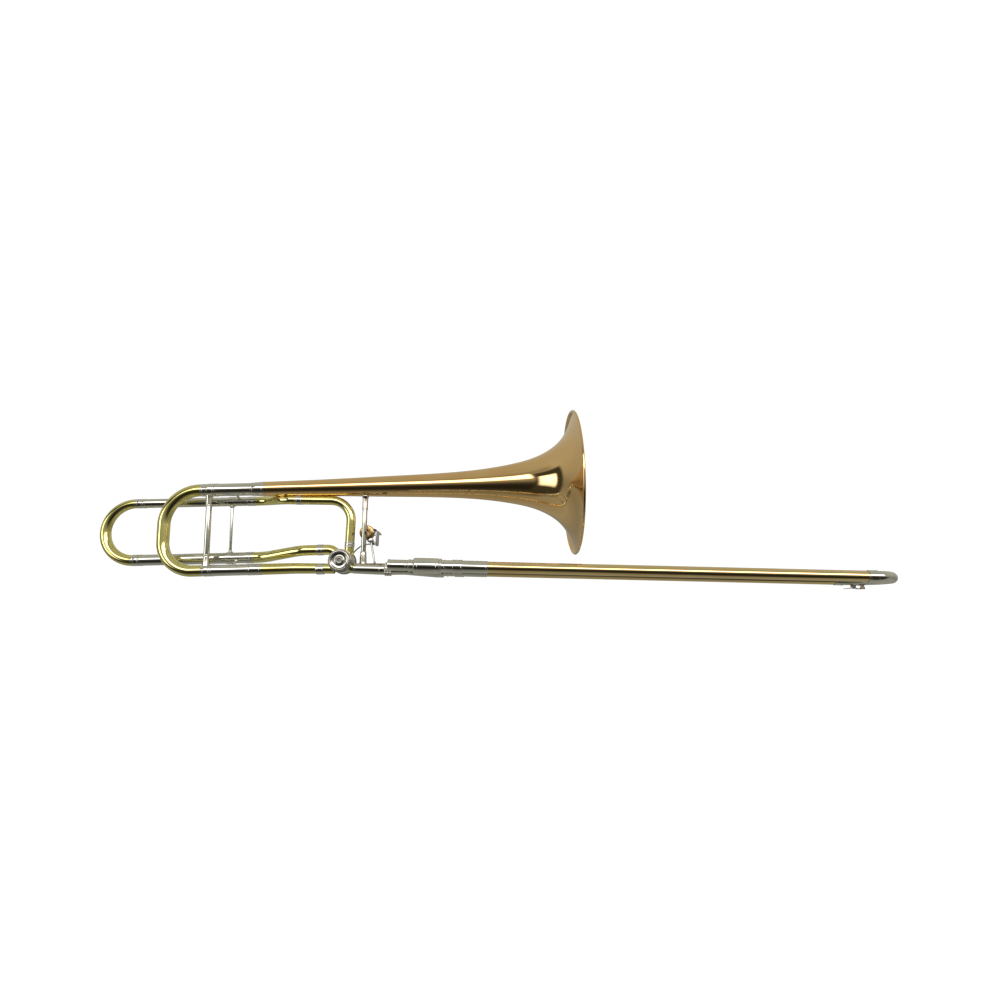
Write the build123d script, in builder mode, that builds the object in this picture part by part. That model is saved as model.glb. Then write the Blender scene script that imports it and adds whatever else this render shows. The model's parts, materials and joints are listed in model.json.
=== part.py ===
from build123d import *
from math import cos, hypot, radians, sin, sqrt
import os

# Tenor trombone with an open-wrap F attachment, in millimetres.
# +X runs along the hand slide towards its bow, +Z goes up from the slide to the bell.
# The origin is the centre of the mouthpiece receiver's mouth, on the axis of the mouthpiece tube.
# The bell, the main tuning slide and the far slide tube lie in one upright plane, the bell plane.

# ---------------------------------------------------------------- driving dimensions
SLIDE_SPACING = 84.0        # between the two hand slide tubes, and so the bell plane's Y
BELL_AXIS_HEIGHT = 123.3    # bell axis above the slide's plane, at X = 0
LEG_TILT = 2.8              # the bell axis rises by this many degrees towards the bell
BELL_RADIUS = 107.95        # an 8.5 inch bell
RIM_S = 259.0               # rim plane, along the bell axis
WALL = 0.6                  # sheet thickness of the bell and the crooks
CLEAR = 0.02                # between two tubes that are soldered one in the other
RUN_FIT = 0.06              # radial clearance of a sliding tube

# hand slide
BRASS_R = 7.62
BRASS_BORE = 7.2
INNER_R = 6.85
INNER_BORE = 6.4
STOCKING_R = BRASS_BORE - RUN_FIT
SLEEVE_R = 8.3
SLEEVE_END = 132.0
SLEEVE_START = 56.0
BARREL_START = 33.5
BARREL_END = 67.8
BARREL_R = 10.4
BARREL_BORE = 8.7
FAR_BARREL_START = 12.0
RECEIVER_LENGTH = 27.0
RECEIVER_R = 7.4
MOUTH_R = 6.35
MOUTH_DEPTH = 25.0
STOCKING_START = 470.0
INNER_END = 647.1
BOW_START = 657.0
BOW_TIP = 693.3              # centreline of the bow's flat middle
BOW_CORNER = 36.0
BOW_FERRULE_START = 643.9
BOW_R = 7.75
BOW_BORE = 7.1
INNER_BRACE_X = 17.0
OUTER_BRACE_X = 92.0
BRACE_R = 3.6

# bell section
LEG_SPACING = 118.1         # between the two legs of the main tuning slide
CROOK_END_S = -290.0
MOVING_FERRULE_S = -270.0
SLEEVE_FROM_S = -269.6
SLEEVE_TO_S = -218.0
LEG_FERRULE_S = -198.0
INNER_LEG_S = -222.0
UPPER_LEG_R = 9.3
LOWER_LEG_R = 8.15
CROOK_UPPER_R = 9.0
CROOK_LOWER_R = 8.2
CROOK_UPPER_BEND = 50.0
CROOK_LOWER_BEND = 44.0
CROOK_REACH_S = -342.4      # centreline of the crook's straight back

# F attachment
F_DEPTH = 24.0              # the F loop's plane lies this far behind the bell plane
F_SPACING = 84.9
F_UPPER_T = -13.6           # upper F leg, measured square to the bell axis
F_UPPER_R = 6.75
F_LOWER_R = 8.15
F_CROOK_S = -396.0
F_FERRULE_S = -385.0
F_SLEEVE_FROM_S = -384.6
F_SLEEVE_TO_S = -219.0
F_INNER_LEG_S = -300.0

# rotary valve
VALVE_X = -78.5
VALVE_Z = 9.5
CASING_R = 17.0
CASING_HALF = 17.0
ROTOR_R = 14.4
ROTOR_HALF = 12.5
TUBE_R = 7.3                # tubes that enter the valve
STOP_ARM_RADIUS = 7.0
STOP_ARM_ANGLE = 47.8       # at rest, in the X-Z plane
ROTOR_TURN = 90.0

# trigger
LEVER_X = -46.5
LEVER_Z = 53.5
LINK_ARM_RADIUS = 16.5
LINK_ARM_ANGLE = -61.0

# neckpipe, lock nut and bell brace
NECK_START = -61.5
NECK_END = -16.5
LOCK_NUT_START = -16.3
LOCK_NUT_END = -6.3
LOCK_NUT_R = 9.9
LOCK_NUT_NOTCHES = 24
BRACE_TOP_S = -51.1         # bell brace, at the bell
BRACE_FOOT_X = -48.3        # and at the neckpipe

# water key, on the bow's far limb
KEY_X = 670.0
KEY_PIVOT_Z = -10.6

os.makedirs("parts", exist_ok=True)

# ---------------------------------------------------------------- frames
TILT = radians(LEG_TILT)
ALONG = Vector(cos(TILT), 0, sin(TILT))
UPWARD = Vector(-sin(TILT), 0, cos(TILT))
TOWARDS_FRONT = Vector(0, -1, 0)
BELL_ORIGIN = Vector(0, SLIDE_SPACING, BELL_AXIS_HEIGHT)
F_UPPER_ORIGIN = BELL_ORIGIN + UPWARD * F_UPPER_T + Vector(0, F_DEPTH, 0)
F_LOWER_ORIGIN = F_UPPER_ORIGIN - UPWARD * F_SPACING

# a turned piece's sketch plane: its x runs along the piece's axis, its y is the radius
UPPER_LEG = Plane(origin=BELL_ORIGIN, x_dir=ALONG, z_dir=TOWARDS_FRONT)
LOWER_LEG = Plane(origin=BELL_ORIGIN - UPWARD * LEG_SPACING, x_dir=ALONG, z_dir=TOWARDS_FRONT)
F_UPPER_LEG = Plane(origin=F_UPPER_ORIGIN, x_dir=ALONG, z_dir=TOWARDS_FRONT)
F_LOWER_LEG = Plane(origin=F_LOWER_ORIGIN, x_dir=ALONG, z_dir=TOWARDS_FRONT)
NEAR_TUBE = Plane(origin=(0, 0, 0), x_dir=(1, 0, 0), z_dir=TOWARDS_FRONT)
FAR_TUBE = Plane(origin=(0, SLIDE_SPACING, 0), x_dir=(1, 0, 0), z_dir=TOWARDS_FRONT)
VALVE_AXIS = Plane(origin=(VALVE_X, SLIDE_SPACING, VALVE_Z), x_dir=(0, 1, 0), z_dir=(1, 0, 0))


def bell_point(s, t, depth=0.0):
    """A point s along the bell axis, t square to it and depth behind the bell plane."""
    return BELL_ORIGIN + ALONG * s + UPWARD * t + Vector(0, depth, 0)


# ---------------------------------------------------------------- shaping helpers
def turn(axis_plane, outline, mode=Mode.ADD):
    """Revolves a closed outline of (along, radius) points about a plane's x axis."""
    with BuildSketch(axis_plane) as half:
        with BuildLine():
            Polyline(*outline, close=True)
        make_face()
    revolve(half.sketch, axis=Axis(axis_plane.origin, axis_plane.x_dir), mode=mode)


def sleeve(axis_plane, start, end, outer, bore, mode=Mode.ADD):
    """Turns a straight ring from start to end."""
    turn(axis_plane, [(start, bore), (end, bore), (end, outer), (start, outer)], mode)


def cone_sleeve(axis_plane, start, end, outer_start, outer_end, wall):
    """Turns a tapered ring of one wall thickness."""
    turn(
        axis_plane,
        [
            (start, outer_start - wall),
            (end, outer_end - wall),
            (end, outer_end),
            (start, outer_start),
        ],
    )


def bend_path(points, radii):
    """A path of straight runs joined by tangent arcs."""
    with BuildLine() as route:
        FilletPolyline(*points, radius=radii)
    return route.wires()[0]


def straight_path(start, end):
    """A path of one straight run."""
    with BuildLine() as route:
        Line(start, end)
    return route.wires()[0]


def path_start(path):
    """The plane square to a path at its start."""
    return Plane(origin=path @ 0, z_dir=path % 0)


def path_end(path):
    """The plane square to a path at its end."""
    return Plane(origin=path @ 1, z_dir=path % 1)


def rod_along(path, radius, mode=Mode.ADD):
    """Sweeps a round rod along a path."""
    with BuildSketch(path_start(path)) as section:
        Circle(radius)
    sweep(section.sketch, path=path, mode=mode)


def taper_along(path, start_radius, end_radius, mode=Mode.ADD):
    """Sweeps a round rod whose radius changes evenly along a path."""
    with BuildSketch(path_start(path)) as first:
        Circle(start_radius)
    with BuildSketch(path_end(path)) as last:
        Circle(end_radius)
    sweep([first.sketch.face(), last.sketch.face()], path=path, multisection=True, mode=mode)


def tube_along(path, start_radius, end_radius, wall):
    """Sweeps a tube whose outer radius changes evenly along a path."""
    if start_radius == end_radius:
        rod_along(path, start_radius)
        rod_along(path, start_radius - wall, mode=Mode.SUBTRACT)
    else:
        taper_along(path, start_radius, end_radius)
        taper_along(path, start_radius - wall, end_radius - wall, mode=Mode.SUBTRACT)


def rod_between(start, end, radius, mode=Mode.ADD):
    """A straight round rod between two points."""
    first = Vector(*start)
    reach = Vector(*end) - first
    with BuildSketch(Plane(origin=first, z_dir=reach.normalized())) as section:
        Circle(radius)
    extrude(section.sketch, amount=reach.length, mode=mode)


def save(piece, name):
    """Labels a piece and writes its STEP file."""
    piece.part.label = name
    export_step(piece.part, f"parts/{name}.step")


def arm_point(centre_x, centre_z, radius, angle):
    """A point at an angle in the X-Z plane."""
    return centre_x + radius * cos(radians(angle)), centre_z + radius * sin(radians(angle))


# ---------------------------------------------------------------- bell
BELL_TAIL_S = LEG_FERRULE_S
BELL_SEAMS = (59, 150, 215)     # soldered joints between the stem and the rings of the flare
RIM_BEAD_R = 2.0
RIM_WIRE_R = 1.4
RIM_BEAD_RADIUS = BELL_RADIUS - RIM_BEAD_R
RIM_BEAD_S = RIM_S + WALL - RIM_BEAD_R
BELL_OUTLINE = [
    (BELL_TAIL_S, 10.75),
    (-100, 12.8),
    (-24, 15.3),
    (59, 18.2),
    (118, 22.5),
    (166, 29.7),
    (202.3, 39.5),
    (226.8, 52.4),
    (240.4, 64.5),
    (250.6, 80.0),
    (256.5, 94.5),
    (RIM_S, RIM_BEAD_RADIUS + 0.2),
]


def inside_wall(outline, wall):
    """Moves each point of an outline inwards, square to its neighbours' chord."""
    moved = []
    for index, (s, r) in enumerate(outline):
        before = outline[max(index - 1, 0)]
        after = outline[min(index + 1, len(outline) - 1)]
        run = after[0] - before[0]
        rise = after[1] - before[1]
        length = hypot(run, rise)
        moved.append((s + wall * rise / length, r - wall * run / length))
    return moved


with BuildPart() as bell:
    with BuildSketch(UPPER_LEG) as bell_wall:
        with BuildLine():
            outer_curve = Spline(*BELL_OUTLINE)
            inner_curve = Spline(*inside_wall(BELL_OUTLINE, WALL))
            Line(outer_curve @ 0, inner_curve @ 0)
            Line(outer_curve @ 1, inner_curve @ 1)
        make_face()
        with Locations((RIM_BEAD_S, RIM_BEAD_RADIUS)):
            Circle(RIM_BEAD_R)
            Circle(RIM_WIRE_R, mode=Mode.SUBTRACT)
    revolve(axis=Axis(UPPER_LEG.origin, UPPER_LEG.x_dir))
    for seam in BELL_SEAMS:
        sleeve(UPPER_LEG, seam, seam + CLEAR, BELL_RADIUS, 0.0, mode=Mode.SUBTRACT)
save(bell, "bell")

with BuildPart() as bell_rim_wire:
    with BuildSketch(UPPER_LEG):
        with Locations((RIM_BEAD_S, RIM_BEAD_RADIUS)):
            Circle(RIM_WIRE_R - CLEAR)
    revolve(axis=Axis(UPPER_LEG.origin, UPPER_LEG.x_dir))
save(bell_rim_wire, "bell_rim_wire")

# ---------------------------------------------------------------- main tuning slide's fixed legs
with BuildPart() as bell_ferrule:
    cone_sleeve(UPPER_LEG, SLEEVE_TO_S, LEG_FERRULE_S, UPPER_LEG_R + 0.35, 11.0, 0.9)
save(bell_ferrule, "bell_ferrule")

with BuildPart() as main_outer_legs:
    for leg, radius in ((UPPER_LEG, UPPER_LEG_R), (LOWER_LEG, LOWER_LEG_R)):
        sleeve(leg, SLEEVE_FROM_S, SLEEVE_TO_S, radius, radius - WALL)
        sleeve(leg, SLEEVE_FROM_S, SLEEVE_FROM_S + 3, radius + 0.4, radius - WALL)
save(main_outer_legs, "main_outer_legs")

with BuildPart() as lower_leg_ferrule:
    cone_sleeve(LOWER_LEG, SLEEVE_TO_S, LEG_FERRULE_S, LOWER_LEG_R + 0.35, LOWER_LEG_R + 0.1, 0.9)
save(lower_leg_ferrule, "lower_leg_ferrule")

# ---------------------------------------------------------------- main tuning slide
CROOK_TOP = bell_point(CROOK_END_S, 0)
CROOK_BOTTOM = bell_point(CROOK_END_S, -LEG_SPACING)

with BuildPart() as main_tuning_crook:
    tube_along(
        bend_path(
            [
                CROOK_TOP,
                bell_point(CROOK_REACH_S, 0),
                bell_point(CROOK_REACH_S, -LEG_SPACING),
                CROOK_BOTTOM,
            ],
            [CROOK_UPPER_BEND, CROOK_LOWER_BEND],
        ),
        CROOK_UPPER_R,
        CROOK_LOWER_R,
        WALL,
    )
save(main_tuning_crook, "main_tuning_crook")

with BuildPart() as main_slide_legs:
    for leg, radius in ((UPPER_LEG, UPPER_LEG_R), (LOWER_LEG, LOWER_LEG_R)):
        outer = radius - WALL - RUN_FIT
        sleeve(leg, CROOK_END_S, INNER_LEG_S, outer, outer - WALL)
save(main_slide_legs, "main_slide_legs")

with BuildPart() as main_slide_ferrules:
    for leg, radius in ((UPPER_LEG, UPPER_LEG_R), (LOWER_LEG, LOWER_LEG_R)):
        bore = radius - WALL - RUN_FIT + CLEAR
        sleeve(leg, CROOK_END_S, MOVING_FERRULE_S, radius, bore)
        sleeve(leg, CROOK_END_S + 9.5, MOVING_FERRULE_S, radius + 0.35, bore)
save(main_slide_ferrules, "main_slide_ferrules")

BRACE_S = -279.0
MAIN_BRACE_R = 4.1
SOCKET_LENGTH = 15.0
with BuildPart() as main_slide_brace:
    rod_between(
        bell_point(BRACE_S, -UPPER_LEG_R - 3),
        bell_point(BRACE_S, LOWER_LEG_R + 3 - LEG_SPACING),
        MAIN_BRACE_R,
    )
save(main_slide_brace, "main_slide_brace")

with BuildPart() as main_slide_brace_sockets:
    for near_t, far_t in (
        (-UPPER_LEG_R - 0.2, -UPPER_LEG_R - SOCKET_LENGTH),
        (LOWER_LEG_R + 0.2 - LEG_SPACING, LOWER_LEG_R + SOCKET_LENGTH - LEG_SPACING),
    ):
        bead_t = far_t + (near_t - far_t) * 0.1
        rod_between(bell_point(BRACE_S, near_t), bell_point(BRACE_S, far_t), MAIN_BRACE_R + 0.8)
        rod_between(bell_point(BRACE_S, far_t), bell_point(BRACE_S, bead_t), MAIN_BRACE_R + 1.3)
    rod_between(
        bell_point(BRACE_S, 0),
        bell_point(BRACE_S, -LEG_SPACING),
        MAIN_BRACE_R + CLEAR,
        mode=Mode.SUBTRACT,
    )
    for leg, radius in ((UPPER_LEG, UPPER_LEG_R), (LOWER_LEG, LOWER_LEG_R)):
        sleeve(leg, BRACE_S - 9, BRACE_S + 9, radius + 0.35 + CLEAR, 0.0, mode=Mode.SUBTRACT)
save(main_slide_brace_sockets, "main_slide_brace_sockets")

# ---------------------------------------------------------------- tube from tuning slide to valve
VALVE_Y = SLIDE_SPACING
LOWER_TUBE_START = bell_point(LEG_FERRULE_S, -LEG_SPACING)
MAIN_PORT_Z = -1.2
MAIN_PORT = Vector(VALVE_X - 13.0, VALVE_Y, MAIN_PORT_Z)


def casing_space(half_length, radius):
    """A round bar through the valve's axis, for cutting what meets the casing."""
    sleeve(VALVE_AXIS, -half_length, half_length, radius, 0.0, mode=Mode.SUBTRACT)


with BuildPart() as main_valve_tube:
    tube_along(
        bend_path(
            [LOWER_TUBE_START, bell_point(-150, -LEG_SPACING), MAIN_PORT + Vector(-12, 0, 0), MAIN_PORT],
            [200, 120],
        ),
        LOWER_LEG_R,
        TUBE_R,
        WALL,
    )
    casing_space(30, CASING_R + CLEAR)
save(main_valve_tube, "main_valve_tube")

# ---------------------------------------------------------------- F attachment tubes
F_UPPER_START = F_UPPER_ORIGIN + ALONG * F_SLEEVE_TO_S
F_LOWER_START = F_LOWER_ORIGIN + ALONG * F_SLEEVE_TO_S
F_DROP_X = -69.3
F_RUN_Z = 95.6
F_PORT_BEND = Vector(-94.0, VALVE_Y, 26.5)

with BuildPart() as f_upper_tube:
    tube_along(
        bend_path(
            [
                F_UPPER_START,
                F_UPPER_START + ALONG * 14,
                Vector(-168, VALVE_Y, F_RUN_Z),
                Vector(F_DROP_X, VALVE_Y, F_RUN_Z + 1.0),
                Vector(F_DROP_X, VALVE_Y, VALVE_Z + 10),
            ],
            [40, 40, 30],
        ),
        F_UPPER_R,
        F_UPPER_R,
        WALL,
    )
    casing_space(30, CASING_R + CLEAR)
save(f_upper_tube, "f_upper_tube")

with BuildPart() as f_lower_tube:
    tube_along(
        bend_path(
            [
                F_LOWER_START,
                F_LOWER_START + ALONG * 14,
                Vector(-140, VALVE_Y, 24.0),
                F_PORT_BEND,
                Vector(VALVE_X - 7.5, VALVE_Y, VALVE_Z + 9.0),
            ],
            [60, 60, 14],
        ),
        F_LOWER_R,
        TUBE_R,
        WALL,
    )
    casing_space(30, CASING_R + CLEAR)
save(f_lower_tube, "f_lower_tube")

with BuildPart() as f_outer_legs:
    for leg, radius in ((F_UPPER_LEG, F_UPPER_R), (F_LOWER_LEG, F_LOWER_R)):
        sleeve(leg, F_SLEEVE_FROM_S, F_SLEEVE_TO_S, radius, radius - WALL)
        sleeve(leg, F_SLEEVE_FROM_S, F_SLEEVE_FROM_S + 3, radius + 0.4, radius - WALL)
        sleeve(leg, F_SLEEVE_TO_S - 12, F_SLEEVE_TO_S, radius + 0.35, radius - WALL)
save(f_outer_legs, "f_outer_legs")

with BuildPart() as f_tuning_crook:
    tube_along(
        bend_path(
            [
                F_UPPER_ORIGIN + ALONG * F_CROOK_S,
                F_UPPER_ORIGIN + ALONG * (F_CROOK_S - F_SPACING / 2),
                F_LOWER_ORIGIN + ALONG * (F_CROOK_S - F_SPACING / 2),
                F_LOWER_ORIGIN + ALONG * F_CROOK_S,
            ],
            [F_SPACING / 2 - 0.05, F_SPACING / 2 - 0.05],
        ),
        F_UPPER_R,
        F_LOWER_R,
        WALL,
    )
save(f_tuning_crook, "f_tuning_crook")

with BuildPart() as f_slide_legs:
    for leg, radius in ((F_UPPER_LEG, F_UPPER_R), (F_LOWER_LEG, F_LOWER_R)):
        outer = radius - WALL - RUN_FIT
        sleeve(leg, F_CROOK_S, F_INNER_LEG_S, outer, outer - WALL)
save(f_slide_legs, "f_slide_legs")

with BuildPart() as f_slide_ferrules:
    for leg, radius in ((F_UPPER_LEG, F_UPPER_R), (F_LOWER_LEG, F_LOWER_R)):
        sleeve(leg, F_CROOK_S, F_FERRULE_S, radius + 0.25, radius - WALL - RUN_FIT + CLEAR)
save(f_slide_ferrules, "f_slide_ferrules")

F_BRACE_S = -254.5
with BuildPart() as f_brace:
    upper_saddle = F_UPPER_ORIGIN + ALONG * F_BRACE_S
    lower_saddle = F_LOWER_ORIGIN + ALONG * F_BRACE_S
    rod_between(upper_saddle, lower_saddle, 2.1)
    for saddle, away, radius in (
        (upper_saddle, UPWARD * -1, F_UPPER_R),
        (lower_saddle, UPWARD, F_LOWER_R),
    ):
        rod_between(saddle, saddle + away * (radius + 2.6), 3.6)
    for leg, radius in ((F_UPPER_LEG, F_UPPER_R), (F_LOWER_LEG, F_LOWER_R)):
        sleeve(leg, F_BRACE_S - 4.5, F_BRACE_S + 4.5, radius + 0.8, 0.0)
        sleeve(leg, F_BRACE_S - 9, F_BRACE_S + 9, radius + CLEAR, 0.0, mode=Mode.SUBTRACT)
save(f_brace, "f_brace")

STANDOFF_S = -243.0
with BuildPart() as f_standoffs:
    rod_between(bell_point(STANDOFF_S, 0), F_UPPER_ORIGIN + ALONG * STANDOFF_S, 2.6)
    rod_between(bell_point(STANDOFF_S, -LEG_SPACING), F_LOWER_ORIGIN + ALONG * STANDOFF_S, 2.6)
    for leg, radius in (
        (UPPER_LEG, UPPER_LEG_R),
        (LOWER_LEG, LOWER_LEG_R),
        (F_UPPER_LEG, F_UPPER_R),
        (F_LOWER_LEG, F_LOWER_R),
    ):
        sleeve(leg, STANDOFF_S - 9, STANDOFF_S + 9, radius + CLEAR, 0.0, mode=Mode.SUBTRACT)
save(f_standoffs, "f_standoffs")

RUN_BAND = Plane(origin=(-146.7, VALVE_Y, F_RUN_Z + 0.25), x_dir=(1, 0, 0), z_dir=TOWARDS_FRONT)
DROP_BAND = Plane(origin=(F_DROP_X, VALVE_Y, 34.0), x_dir=(0, 0, 1), z_dir=TOWARDS_FRONT)
with BuildPart() as valve_tube_ferrules:
    sleeve(RUN_BAND, -5, 5, F_UPPER_R + 0.45, F_UPPER_R + 0.1)
    sleeve(DROP_BAND, -4, 4, F_UPPER_R + 0.45, F_UPPER_R + CLEAR)
save(valve_tube_ferrules, "valve_tube_ferrules")

# ---------------------------------------------------------------- rotary valve
SHAFT_R = 2.8
SHAFT_END = CASING_HALF + 9.0
with BuildPart() as valve_casing:
    sleeve(VALVE_AXIS, -CASING_HALF, CASING_HALF, CASING_R, ROTOR_R + RUN_FIT)
    sleeve(VALVE_AXIS, CASING_HALF - 3, CASING_HALF, CASING_R + 0.8, ROTOR_R + RUN_FIT)
    rod_between(
        (VALVE_X - 30, VALVE_Y, MAIN_PORT_Z),
        (VALVE_X, VALVE_Y, MAIN_PORT_Z),
        TUBE_R - WALL,
        mode=Mode.SUBTRACT,
    )
    rod_between((VALVE_X + 30, VALVE_Y, 0), (VALVE_X, VALVE_Y, 0), TUBE_R - WALL, mode=Mode.SUBTRACT)
    rod_between(
        (F_DROP_X, VALVE_Y, VALVE_Z + 30),
        (F_DROP_X, VALVE_Y, VALVE_Z),
        F_UPPER_R - WALL,
        mode=Mode.SUBTRACT,
    )
    rod_between(
        F_PORT_BEND,
        (VALVE_X - 5, VALVE_Y, VALVE_Z + 6.0),
        TUBE_R - WALL,
        mode=Mode.SUBTRACT,
    )
save(valve_casing, "valve_casing")

with BuildPart() as valve_cap:
    turn(
        VALVE_AXIS,
        [
            (-CASING_HALF - 4.6, 0),
            (-CASING_HALF - 4.6, 5.0),
            (-CASING_HALF - 3.4, 6.4),
            (-CASING_HALF - 3.4, 11.4),
            (-CASING_HALF - 4.8, 12.6),
            (-CASING_HALF - 4.8, 14.2),
            (-CASING_HALF - 3.0, 15.9),
            (-CASING_HALF - CLEAR, 15.9),
            (-CASING_HALF - CLEAR, ROTOR_R - 0.2),
            (-CASING_HALF + 1.6, ROTOR_R - 0.2),
            (-CASING_HALF + 1.6, 0),
        ],
    )
    sleeve(VALVE_AXIS, -CASING_HALF - 8, -CASING_HALF - 2.4, 2.2, 0.0, mode=Mode.SUBTRACT)
save(valve_cap, "valve_cap")

with BuildPart() as rotor:
    sleeve(VALVE_AXIS, -ROTOR_HALF, ROTOR_HALF, ROTOR_R, 0.0)
    for passage in (-1, 1):
        rod_between(
            (VALVE_X - 30, VALVE_Y, VALVE_Z + passage * 11.5),
            (VALVE_X + 30, VALVE_Y, VALVE_Z + passage * 11.5),
            6.7,
            mode=Mode.SUBTRACT,
        )
    sleeve(VALVE_AXIS, ROTOR_HALF, SHAFT_END, SHAFT_R, 0.0)
    sleeve(VALVE_AXIS, -ROTOR_HALF - 1.6, -ROTOR_HALF, 4.0, 0.0)
save(rotor, "rotor")

BACK_Y = VALVE_Y + CASING_HALF
POST_RADIUS = 9.6
STOP_POST_ANGLES = (STOP_ARM_ANGLE - 62, STOP_ARM_ANGLE + ROTOR_TURN + 62)
with BuildPart() as bearing_plate:
    sleeve(VALVE_AXIS, CASING_HALF + CLEAR, CASING_HALF + 3.0, 15.9, SHAFT_R + RUN_FIT)
    sleeve(VALVE_AXIS, ROTOR_HALF + 0.4, CASING_HALF + CLEAR, ROTOR_R - 0.2, SHAFT_R + RUN_FIT)
    for angle in STOP_POST_ANGLES:
        post_x, post_z = arm_point(VALVE_X, VALVE_Z, POST_RADIUS, angle)
        rod_between((post_x, BACK_Y + 2.0, post_z), (post_x, BACK_Y + 6.0, post_z), 3.2)
save(bearing_plate, "bearing_plate")

STOP_X, STOP_Z = arm_point(VALVE_X, VALVE_Z, STOP_ARM_RADIUS, STOP_ARM_ANGLE)
STOP_ARM_Y = BACK_Y + 6.4
with BuildPart() as stop_arm:
    with BuildSketch(Plane(origin=(VALVE_X, STOP_ARM_Y, VALVE_Z), x_dir=(1, 0, 0), z_dir=(0, 1, 0))):
        Circle(4.6)
        with Locations((STOP_X - VALVE_X, VALVE_Z - STOP_Z)):
            Circle(2.6)
        with Locations(((STOP_X - VALVE_X) / 2, (VALVE_Z - STOP_Z) / 2)):
            Rectangle(STOP_ARM_RADIUS, 4.6, rotation=-STOP_ARM_ANGLE)
        Circle(SHAFT_R + CLEAR, mode=Mode.SUBTRACT)
    extrude(amount=2.6)
save(stop_arm, "stop_arm")

with BuildPart() as stop_arm_screw:
    sleeve(VALVE_AXIS, SHAFT_END + CLEAR, SHAFT_END + 1.1, 3.9, 0.0)
    with BuildSketch(
        Plane(origin=(VALVE_X, VALVE_Y + SHAFT_END + 0.6, VALVE_Z), x_dir=(1, 0, 0), z_dir=(0, 1, 0))
    ):
        Rectangle(9, 0.9)
    extrude(amount=1, mode=Mode.SUBTRACT)
save(stop_arm_screw, "stop_arm_screw")

with BuildPart() as stop_bumpers:
    for angle in STOP_POST_ANGLES:
        post_x, post_z = arm_point(VALVE_X, VALVE_Z, POST_RADIUS, angle)
        rod_between((post_x, BACK_Y + 6.0 + CLEAR, post_z), (post_x, BACK_Y + 9.4, post_z), 2.4)
save(stop_bumpers, "stop_bumpers")

# ---------------------------------------------------------------- neckpipe and bell brace
TENON_R = 7.2
COLLAR_R = 8.0             # the slide receiver's collar, which the lock nut turns on
with BuildPart() as neckpipe_elbow:
    tube_along(
        straight_path(Vector(VALVE_X + 8, VALVE_Y, 0), Vector(NECK_START + 3, VALVE_Y, 0)),
        7.0,
        7.0,
        WALL,
    )
    casing_space(30, CASING_R + CLEAR)
save(neckpipe_elbow, "neckpipe_elbow")

with BuildPart() as neckpipe:
    turn(
        FAR_TUBE,
        [
            (NECK_START, 7.12),
            (NECK_START + 3.2, 7.12),
            (NECK_START + 3.2, 6.4),
            (LOCK_NUT_END + 1.0, 6.4),
            (LOCK_NUT_END + 1.0, TENON_R),
            (NECK_END, TENON_R),
            (NECK_END, 8.3),
            (NECK_END - 4.0, 8.45),
            (NECK_START, 7.6),
        ],
    )
    casing_space(30, CASING_R + CLEAR)
save(neckpipe, "neckpipe")

BRACE_TOP = bell_point(BRACE_TOP_S, -15.2)
BRACE_BOTTOM = Vector(BRACE_FOOT_X, VALVE_Y, 8.3)
BRACE_UP = (BRACE_TOP - BRACE_BOTTOM).normalized()
with BuildPart() as bell_brace:
    rod_between(BRACE_BOTTOM + BRACE_UP * 3, BRACE_TOP - BRACE_UP * 3, BRACE_R)
save(bell_brace, "bell_brace")

with BuildPart() as bell_brace_sockets:
    rod_between(BRACE_TOP + BRACE_UP * 4, BRACE_TOP - BRACE_UP * 18, 4.1)
    rod_between(BRACE_TOP - BRACE_UP * 17, BRACE_TOP - BRACE_UP * 19, 4.5)
    rod_between(BRACE_BOTTOM - BRACE_UP * 4, BRACE_BOTTOM + BRACE_UP * 12, 5.0)
    rod_between(BRACE_BOTTOM + BRACE_UP * 10, BRACE_BOTTOM + BRACE_UP * 16, 4.5)
    rod_between(BRACE_BOTTOM, BRACE_TOP, BRACE_R + CLEAR, mode=Mode.SUBTRACT)
    turn(
        UPPER_LEG,
        [(-100, 0), (-100, 13.0), (-24, 15.55), (59, 18.5), (59, 0)],
        mode=Mode.SUBTRACT,
    )
    turn(
        FAR_TUBE,
        [(NECK_START, 0), (NECK_START, 7.64), (NECK_END - 4, 8.5), (NECK_END - 4, 0)],
        mode=Mode.SUBTRACT,
    )
save(bell_brace_sockets, "bell_brace_sockets")

# ---------------------------------------------------------------- trigger
DRUM_R = 10.8
PIVOT_R = 2.0
LINK_SCREW_R = 1.0
HINGE_FRONT = VALVE_Y + 5.0
HINGE_BACK = VALVE_Y + 14.0
LEVER_BACK = HINGE_BACK + 6.0
LEVER_FACE = Plane(origin=(LEVER_X, HINGE_BACK + 0.4, LEVER_Z), x_dir=(1, 0, 0), z_dir=(0, 1, 0))
HINGE_AXIS = Plane(origin=(LEVER_X, 0, LEVER_Z), x_dir=(0, 1, 0), z_dir=(1, 0, 0))
LINK_X, LINK_Z = arm_point(LEVER_X, LEVER_Z, LINK_ARM_RADIUS, LINK_ARM_ANGLE)

with BuildPart() as trigger_drum:
    sleeve(HINGE_AXIS, HINGE_FRONT, HINGE_BACK, DRUM_R, DRUM_R - 1.4)
    sleeve(HINGE_AXIS, HINGE_FRONT, HINGE_FRONT + 1.4, DRUM_R, 0.0)
    sleeve(HINGE_AXIS, HINGE_FRONT - 0.9, HINGE_FRONT, DRUM_R - 3.2, 0.0)
    sleeve(HINGE_AXIS, HINGE_FRONT - 3, HINGE_BACK + 3, PIVOT_R + CLEAR, 0.0, mode=Mode.SUBTRACT)
    rod_between(BRACE_BOTTOM, BRACE_TOP, BRACE_R + CLEAR, mode=Mode.SUBTRACT)
save(trigger_drum, "trigger_drum")

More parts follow.
